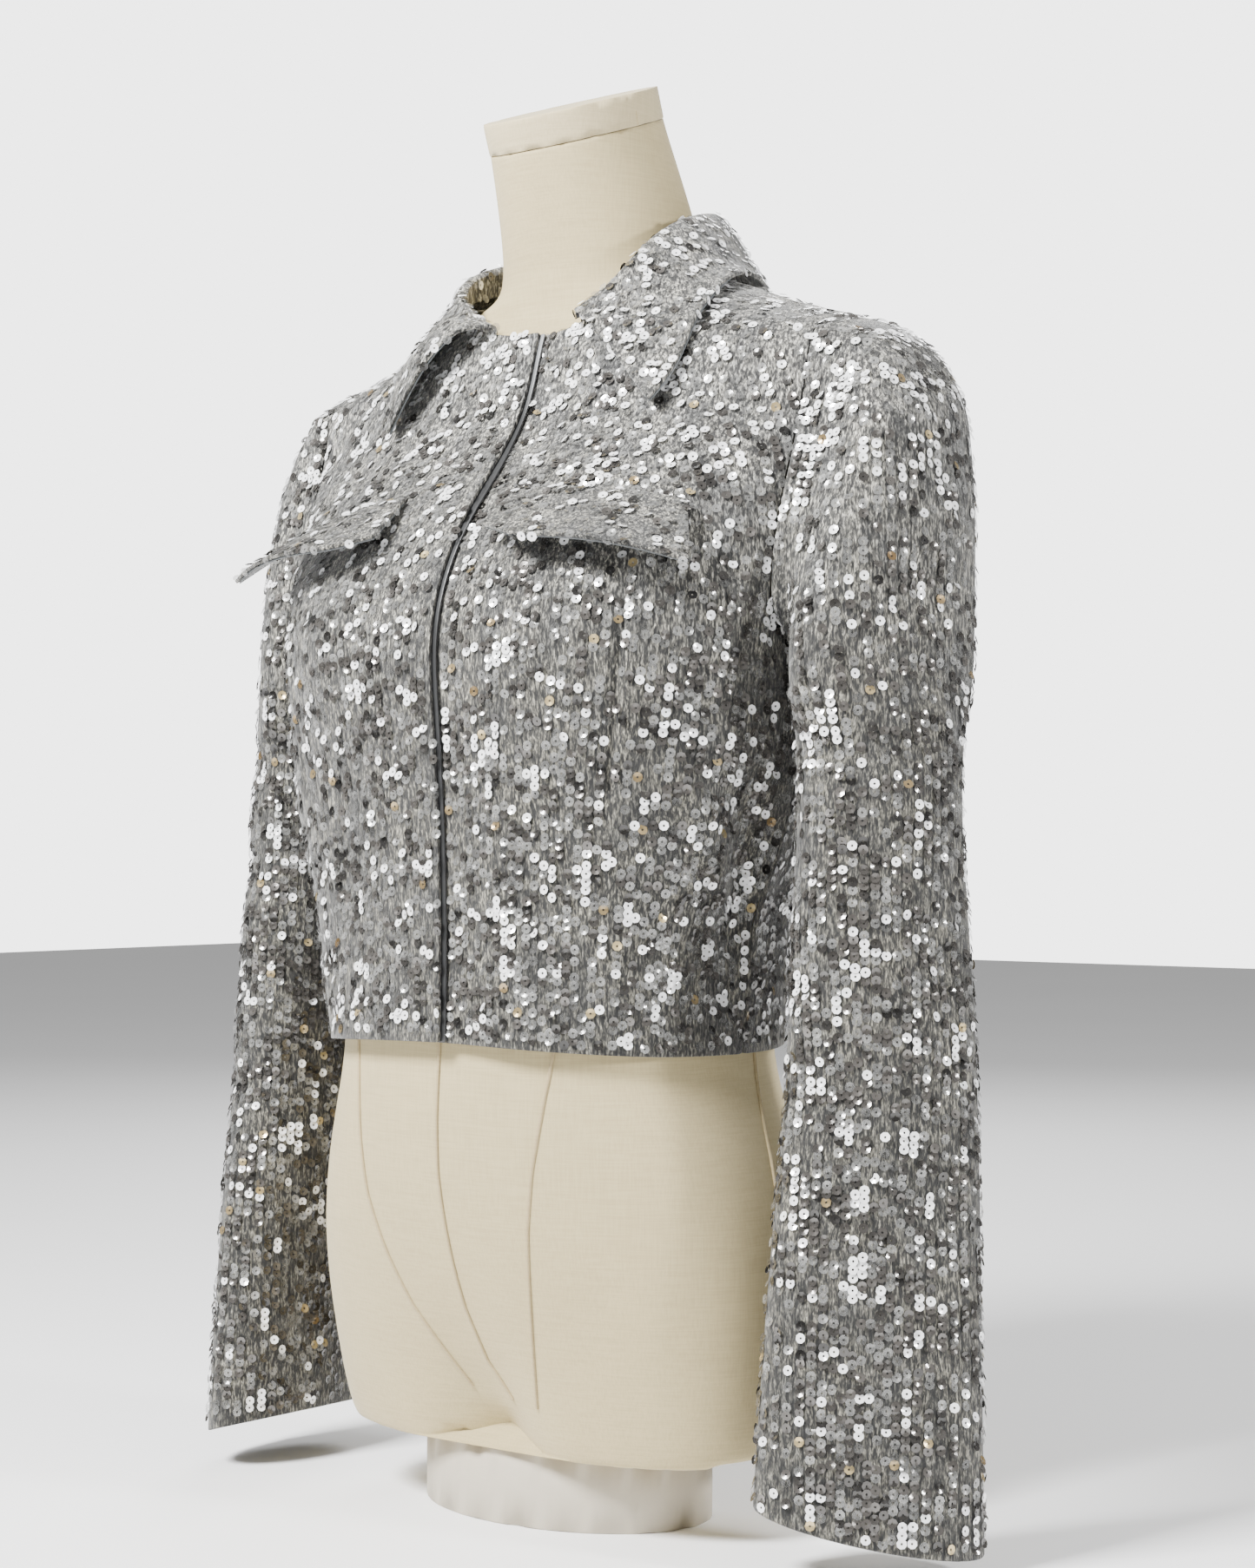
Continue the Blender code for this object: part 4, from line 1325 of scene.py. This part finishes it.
FRONT_LEFT_FOLDS = (
    Fold(((75.6, 0.402), (81.0, 0.366), (84.5, 0.330), (85.0, 0.290)), 0.011, 0.0060),
    Fold(((63.0, 0.400), (69.4, 0.371), (74.7, 0.347), (78.0, 0.310)), 0.008, -0.0038),
    Fold(((62.0, 0.505), (70.0, 0.492), (77.0, 0.480)), 0.010, 0.0036),
    Fold(((77.0, 0.575), (79.0, 0.540), (81.0, 0.510), (84.0, 0.475), (84.0, 0.440)),
         0.012, 0.0066, 0.22),
    Fold(((58.0, 0.455), (65.0, 0.430), (72.0, 0.412)), 0.010, 0.0028),
    Fold(((53.0, 0.5415), (62.1, 0.5306)), 0.004, 0.0022),
    Fold(((30.0, 0.405), (36.0, 0.350), (34.0, 0.300)), 0.016, 0.0022),
    Fold(((12.0, 0.330), (14.0, 0.290), (13.0, 0.256)), 0.013, 0.0018),
    Fold(((52.0, 0.330), (55.0, 0.290), (54.0, 0.256)), 0.014, -0.0020),
)
FRONT_RIGHT_FOLDS = (
    Fold(((-75.0, 0.405), (-80.0, 0.360), (-83.0, 0.320), (-83.5, 0.285)), 0.012, 0.0048),
    Fold(((-77.0, 0.580), (-78.0, 0.545), (-79.5, 0.505), (-82.0, 0.470)), 0.009, 0.0040),
    Fold(((-57.0, 0.450), (-64.0, 0.424), (-72.0, 0.415)), 0.011, 0.0026),
    Fold(((-62.0, 0.395), (-68.0, 0.360), (-74.0, 0.325)), 0.009, -0.0022),
    Fold(((-60.0, 0.500), (-69.0, 0.484), (-75.0, 0.478)), 0.011, 0.0024),
    Fold(((-26.0, 0.415), (-33.0, 0.360), (-30.0, 0.300)), 0.017, 0.0020),
    Fold(((-48.0, 0.345), (-52.0, 0.300), (-50.0, 0.256)), 0.014, -0.0022),
    Fold(((-12.0, 0.580), (-24.0, 0.560), (-34.0, 0.553)), 0.012, 0.0022),
)
BACK_FOLDS = (
    Fold(((100.0, 0.400), (97.0, 0.360), (98.0, 0.300)), 0.012, 0.0034),
    Fold(((-101.0, 0.392), (-98.0, 0.350), (-99.0, 0.290)), 0.012, 0.0030),
    Fold(((115.0, 0.365), (142.0, 0.352), (168.0, 0.358)), 0.015, 0.0026),
    Fold(((-118.0, 0.350), (-150.0, 0.338), (-172.0, 0.346)), 0.014, 0.0021),
    Fold(((110.0, 0.520), (118.0, 0.480), (122.0, 0.440)), 0.014, 0.0030),
    Fold(((-112.0, 0.525), (-119.0, 0.482), (-124.0, 0.430)), 0.015, 0.0034),
    Fold(((176.0, 0.630), (178.0, 0.590), (179.0, 0.560)), 0.020, 0.0015),
    Fold(((150.0, 0.300), (153.0, 0.275), (152.0, 0.254)), 0.014, -0.0020),
    Fold(((-160.0, 0.310), (-157.0, 0.280), (-158.0, 0.254)), 0.013, 0.0018),
)
LEFT_SLEEVE_FOLDS = (
    Fold(((20.0, 0.585), (50.0, 0.602), (90.0, 0.608), (130.0, 0.602), (160.0, 0.590)),
         0.014, -0.0042),
    Fold(((-40.0, 0.422), (0.0, 0.405), (52.0, 0.411)), 0.011, 0.0030),
    Fold(((-20.0, 0.362), (22.0, 0.346), (70.0, 0.356)), 0.013, 0.0026),
    Fold(((60.0, 0.318), (100.0, 0.300), (128.0, 0.307)), 0.012, 0.0030),
    Fold(((-45.0, 0.252), (-5.0, 0.236), (22.0, 0.241)), 0.015, 0.0024),
    Fold(((35.0, 0.196), (82.0, 0.180), (110.0, 0.187)), 0.017, 0.0022),
    Fold(((-15.0, 0.118), (26.0, 0.112), (48.0, 0.118)), 0.015, 0.0018),
    Fold(((14.0, 0.330), (4.0, 0.250), (-2.0, 0.160)), 0.016, 0.0026),
    Fold(((66.0, 0.520), (78.0, 0.482), (90.0, 0.470)), 0.015, 0.0024),
    Fold(((150.0, 0.392), (190.0, 0.372), (232.0, 0.384)), 0.013, 0.0036),
    Fold(((170.0, 0.300), (205.0, 0.280), (240.0, 0.288)), 0.015, 0.0028),
    Fold(((200.0, 0.180), (232.0, 0.168), (262.0, 0.176)), 0.016, 0.0022),
)
RIGHT_SLEEVE_FOLDS = (
    Fold(((-20.0, 0.590), (-55.0, 0.605), (-90.0, 0.610), (-128.0, 0.603)), 0.014, -0.0030),
    Fold(((40.0, 0.418), (-4.0, 0.402), (-46.0, 0.408)), 0.012, 0.0030),
    Fold(((18.0, 0.352), (-30.0, 0.340), (-72.0, 0.348)), 0.013, 0.0027),
    Fold(((-58.0, 0.290), (-96.0, 0.276), (-130.0, 0.284)), 0.013, 0.0026),
    Fold(((30.0, 0.232), (-8.0, 0.222), (-36.0, 0.228)), 0.016, 0.0022),
    Fold(((-30.0, 0.158), (-70.0, 0.146), (-98.0, 0.152)), 0.016, 0.0020),
    Fold(((-12.0, 0.320), (-4.0, 0.240), (0.0, 0.150)), 0.016, 0.0024),
    Fold(((-150.0, 0.386), (-188.0, 0.366), (-226.0, 0.374)), 0.013, 0.0034),
    Fold(((-165.0, 0.286), (-202.0, 0.270), (-238.0, 0.280)), 0.015, 0.0026),
)
DART_ROUTE = ((48.9, 0.500), (48.5, 0.458), (48.9, 0.420), (49.5, 0.376))
DART_SIZE = (0.0030, 0.0034, 0.12)    # half width, depth and the share that fades at each end
COVERS = {                            # what lies over a piece, or hides a side of it
    "back": ("collar",),
    "front_left": ("flap_lining_left", "flap_left", "front_right", "front_facing", "collar",
                   "collar_underside_left"),
    "front_right": ("flap_lining_right", "flap_right", "collar", "collar_underside_right"),
    "collar": ("front_left", "front_right", "back", "collar_underside_left",
               "collar_underside_right"),
    "flap_left": ("flap_lining_left", "front_left"),
    "flap_right": ("flap_lining_right", "front_right"),
}


@dataclass
class Jacket:
    """The jacket: body, sleeves, collar, flaps and its satin pieces.

    Attributes:
        cloth: The marled cloth.
        satin: The satin under the collar and the flaps.
        pale_satin: The satin of the front's facing, painted dark below the neck as the overlap's
            painted shade.
        films: A material for each kind of sequin.
        pieces: Its pieces under their nodes' names, in the order of their sewing.
    """

    cloth: bpy.types.Material
    satin: bpy.types.Material
    pale_satin: bpy.types.Material
    films: list[bpy.types.Material]
    pieces: dict[str, SewnPiece] = field(default_factory=dict)

    def cut(self) -> None:
        """Describe every piece: its cut, what holds it and its creases."""
        sides = {"left": ("front_left",), "right": ("front_right",)}
        woven = {"slot": "sequin_cloth", "finish": self.cloth}
        body = {**woven, "hold": Hold.HUNG, "rests_on": ("dress_form",)}
        flap = {**woven, "hold": Hold.HUNG, "flat": (0.11, 0.05), "detail": 3}
        satin = {"slot": "satin_grey", "hold": Hold.HUNG}
        self.add(FoldedPiece("back", flat=(0.50, 0.46), spine=BODY_SPINE, folds=BACK_FOLDS,
                             columns=(0.43, 84.0, 276.0), **body))
        self.add(FoldedPiece("front_left", flat=(0.26, 0.43), spine=BODY_SPINE, detail=3,
                             folds=FRONT_LEFT_FOLDS, darts=(Fold(DART_ROUTE, *DART_SIZE),),
                             columns=(0.43, 4.5, 98.0), **body))
        self.add(FoldedPiece("front_right", flat=(0.24, 0.43), spine=BODY_SPINE, detail=3,
                             folds=FRONT_RIGHT_FOLDS,
                             darts=(Fold(mirrored(DART_ROUTE), *DART_SIZE),),
                             columns=(0.43, -98.0, 4.5), **body))
        self.add(FoldedPiece("sleeve_left", flat=(0.36, 0.66), spine=LEFT_SPINE,
                             folds=LEFT_SLEEVE_FOLDS, columns=(0.30, -140.0, 220.0), **body))
        self.add(FoldedPiece("sleeve_right", flat=(0.36, 0.66), spine=RIGHT_SPINE,
                             folds=RIGHT_SLEEVE_FOLDS, columns=(0.30, -220.0, 140.0), **body))
        self.add(SmallSequinPiece("collar", flat=(0.50, 0.12), hold=Hold.FOLDED,
                                  rests_on=("back", "front_left", "front_right"), **woven))
        for side, front in sides.items():
            self.add(SmallSequinPiece(f"flap_{side}", rests_on=front, **flap))
        for side, front in sides.items():
            for part, flat in (("collar_underside", (0.12, 0.07)), ("flap_lining", (0.11, 0.05))):
                self.add(SewnPiece(f"{part}_{side}", flat=flat, finish=self.satin,
                                   rests_on=front, **satin))
        self.add(SewnPiece("front_facing", flat=(0.02, 0.42), finish=self.pale_satin,
                           rests_on=sides["right"], **satin))

    def add(self, piece: SewnPiece) -> None:
        """Keep a piece under its node's name."""
        self.pieces[piece.node] = piece

    def make(self, nodes: dict[str, bpy.types.Object], rng: np.random.Generator) -> None:
        """Build every piece and sew the sequins on.

        Args:
            nodes: The frame's nodes.
            rng: The source of chance.
        """
        self.cut()
        for piece in self.pieces.values():
            piece.build(nodes)
        trees = {name: surface_tree(piece.shell.data) for name, piece in self.pieces.items()}
        for name, piece in self.pieces.items():
            sewn = []
            if isinstance(piece, (FoldedPiece, SmallSequinPiece)):
                covers = [trees[other] for other in COVERS.get(name, ())]
                sewn.append(piece.sew(self.films, rng, covers))
            piece.finish_piece(sewn)


@dataclass(frozen=True)
class Studio:
    """Floor, lights and the camera at the photograph's view.

    Attributes:
        azimuth: The camera's turn from straight in front towards the wearer's left.
        distance: The camera's distance from the garment's middle line.
        middle_y: Where that line stands.
        height: The camera's height; it looks level.
        lens: Focal length for a 36 mm high film.
        shift: How far the picture is moved across and up, by its height.
        backdrop: How bright the room is where the camera looks at it.
        room: How bright the room's own light is.
        dusk: Share of that light that comes from beside the garment.
        rise: How far up, of 1 for straight above, the share starts to rise and is whole.
        aim: The height that the lights face.
        lights: Each light's name, its turn from the camera, its distance and height, the
            width of its face and its power in watts.
        floor_reach: How far the floor goes to each side.
    """

    azimuth: float = 39.0
    distance: float = 1.60
    middle_y: float = 0.033
    height: float = 0.364
    lens: float = 66.78
    shift: tuple[float, float] = (0.0213, 0.0316)
    backdrop: float = 4.0
    room: float = 0.46
    dusk: float = 0.10
    rise: tuple[float, float] = (0.06, 0.40)
    aim: float = 0.42
    lights: tuple[tuple[str, float, float, float, float, float], ...] = (
        ("key", -50.0, 1.25, 1.50, 0.5, 116.0),
        ("side", 58.0, 2.0, 0.95, 0.25, 44.0),
        ("rear", 172.0, 2.0, 1.7, 1.0, 34.0),
    )
    floor_reach: float = 6.0

    def direction(self, turn: float) -> Vector:
        """Give the level direction at a turn from the camera's own, to its right."""
        angle = math.radians(self.azimuth + turn)
        return Vector((math.sin(angle), -math.cos(angle), 0.0))

    def camera(self) -> None:
        """Set the camera up."""
        data = bpy.data.cameras.new("camera")
        data.sensor_fit = "VERTICAL"
        data.sensor_height = 36.0
        data.lens = self.lens
        data.shift_x, data.shift_y = self.shift
        data.clip_start = 0.05
        camera = add_object("camera", data)
        middle = Vector((0.0, self.middle_y, self.height))
        camera.location = middle + self.direction(0.0) * self.distance
        camera.rotation_euler = (math.radians(90), 0.0, math.radians(self.azimuth))
        bpy.context.scene.camera = camera

    def light(self, name: str, turn: float, away: float, height: float, size: float,
              power: float) -> None:
        """Hang a soft light that faces the garment.

        Args:
            name: The light's name.
            turn: Its turn from the camera, in degrees, to the camera's right.
            away: Its distance from the garment.
            height: Its height.
            size: The width of its square face.
            power: Its power in watts.
        """
        data = bpy.data.lights.new(name, "AREA")
        data.size = size
        data.energy = power
        lamp = add_object(name, data)
        target = Vector((0.0, self.middle_y, self.aim))
        lamp.location = self.direction(turn) * away + Vector((0.0, 0.0, height))
        lamp.rotation_euler = (target - lamp.location).to_track_quat("-Z", "Y").to_euler()

    def floor(self, finish: bpy.types.Material) -> None:
        """Lay the floor.

        Args:
            finish: Its material.
        """
        work = bmesh.new()
        bmesh.ops.create_grid(work, x_segments=1, y_segments=1, size=self.floor_reach)
        mesh = bpy.data.meshes.new("floor")
        work.to_mesh(mesh)
        work.free()
        mesh.materials.append(finish)
        add_object("floor", mesh)

    def world(self) -> None:
        """Light the room softly from above, with a white backdrop behind the garment."""
        world = bpy.data.worlds.new("studio")
        world.use_nodes = True
        tree = world.node_tree
        room = tree.nodes["Background"]
        room.inputs["Strength"].default_value = self.room
        direction = tree.nodes.new("ShaderNodeTexCoord")
        parts = tree.nodes.new("ShaderNodeSeparateXYZ")
        tree.links.new(direction.outputs["Generated"], parts.inputs[0])
        rise = tree.nodes.new("ShaderNodeValToRGB")
        rise.color_ramp.elements[0].color = (*(self.dusk,) * 3, 1.0)
        for stop, height in zip(rise.color_ramp.elements, self.rise):
            stop.position = height
        tree.links.new(parts.outputs["Z"], rise.inputs["Fac"])
        tree.links.new(rise.outputs["Color"], room.inputs["Color"])
        backdrop = tree.nodes.new("ShaderNodeBackground")
        backdrop.inputs["Color"].default_value = (1.0, 1.0, 1.0, 1.0)
        backdrop.inputs["Strength"].default_value = self.backdrop
        path = tree.nodes.new("ShaderNodeLightPath")
        join = tree.nodes.new("ShaderNodeMixShader")
        tree.links.new(path.outputs["Is Camera Ray"], join.inputs[0])
        tree.links.new(room.outputs[0], join.inputs[1])
        tree.links.new(backdrop.outputs[0], join.inputs[2])
        tree.links.new(join.outputs[0], tree.nodes["World Output"].inputs["Surface"])
        bpy.context.scene.world = world

    def build(self) -> None:
        """Set the whole studio up."""
        self.floor(PaleFloor().material())
        self.camera()
        self.world()
        for light in self.lights:
            self.light(*light)


def main() -> None:
    """Dress the frame, log the sequin counts and the form's seam count, and set up the studio."""
    logging.basicConfig(level=logging.INFO, format="%(name)s %(message)s")
    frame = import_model()
    rng = np.random.default_rng(SEED)
    films = [film.material() for film in SEQUIN_FILMS]
    # The facing's satin keeps 0.12 of its colour below the neck: painted shade where the overlap
    # covers it.
    jacket = Jacket(MarledCloth().material(), Satin().material(),
                    Satin("facing_satin", (0.21, 0.215, 0.22), low=0.12).material(), films)
    jacket.make(frame["nodes"], rng)
    DressForm(Linen().material(), Linen("cap_linen", (0.50, 0.420, 0.25)).material(),
              Linen("seam_linen", (0.40, 0.32, 0.175)).material(),
              PaleBase().material()).dress(frame["nodes"])
    Studio().build()
    bpy.context.view_layer.update()


if __name__ == "__main__":
    main()
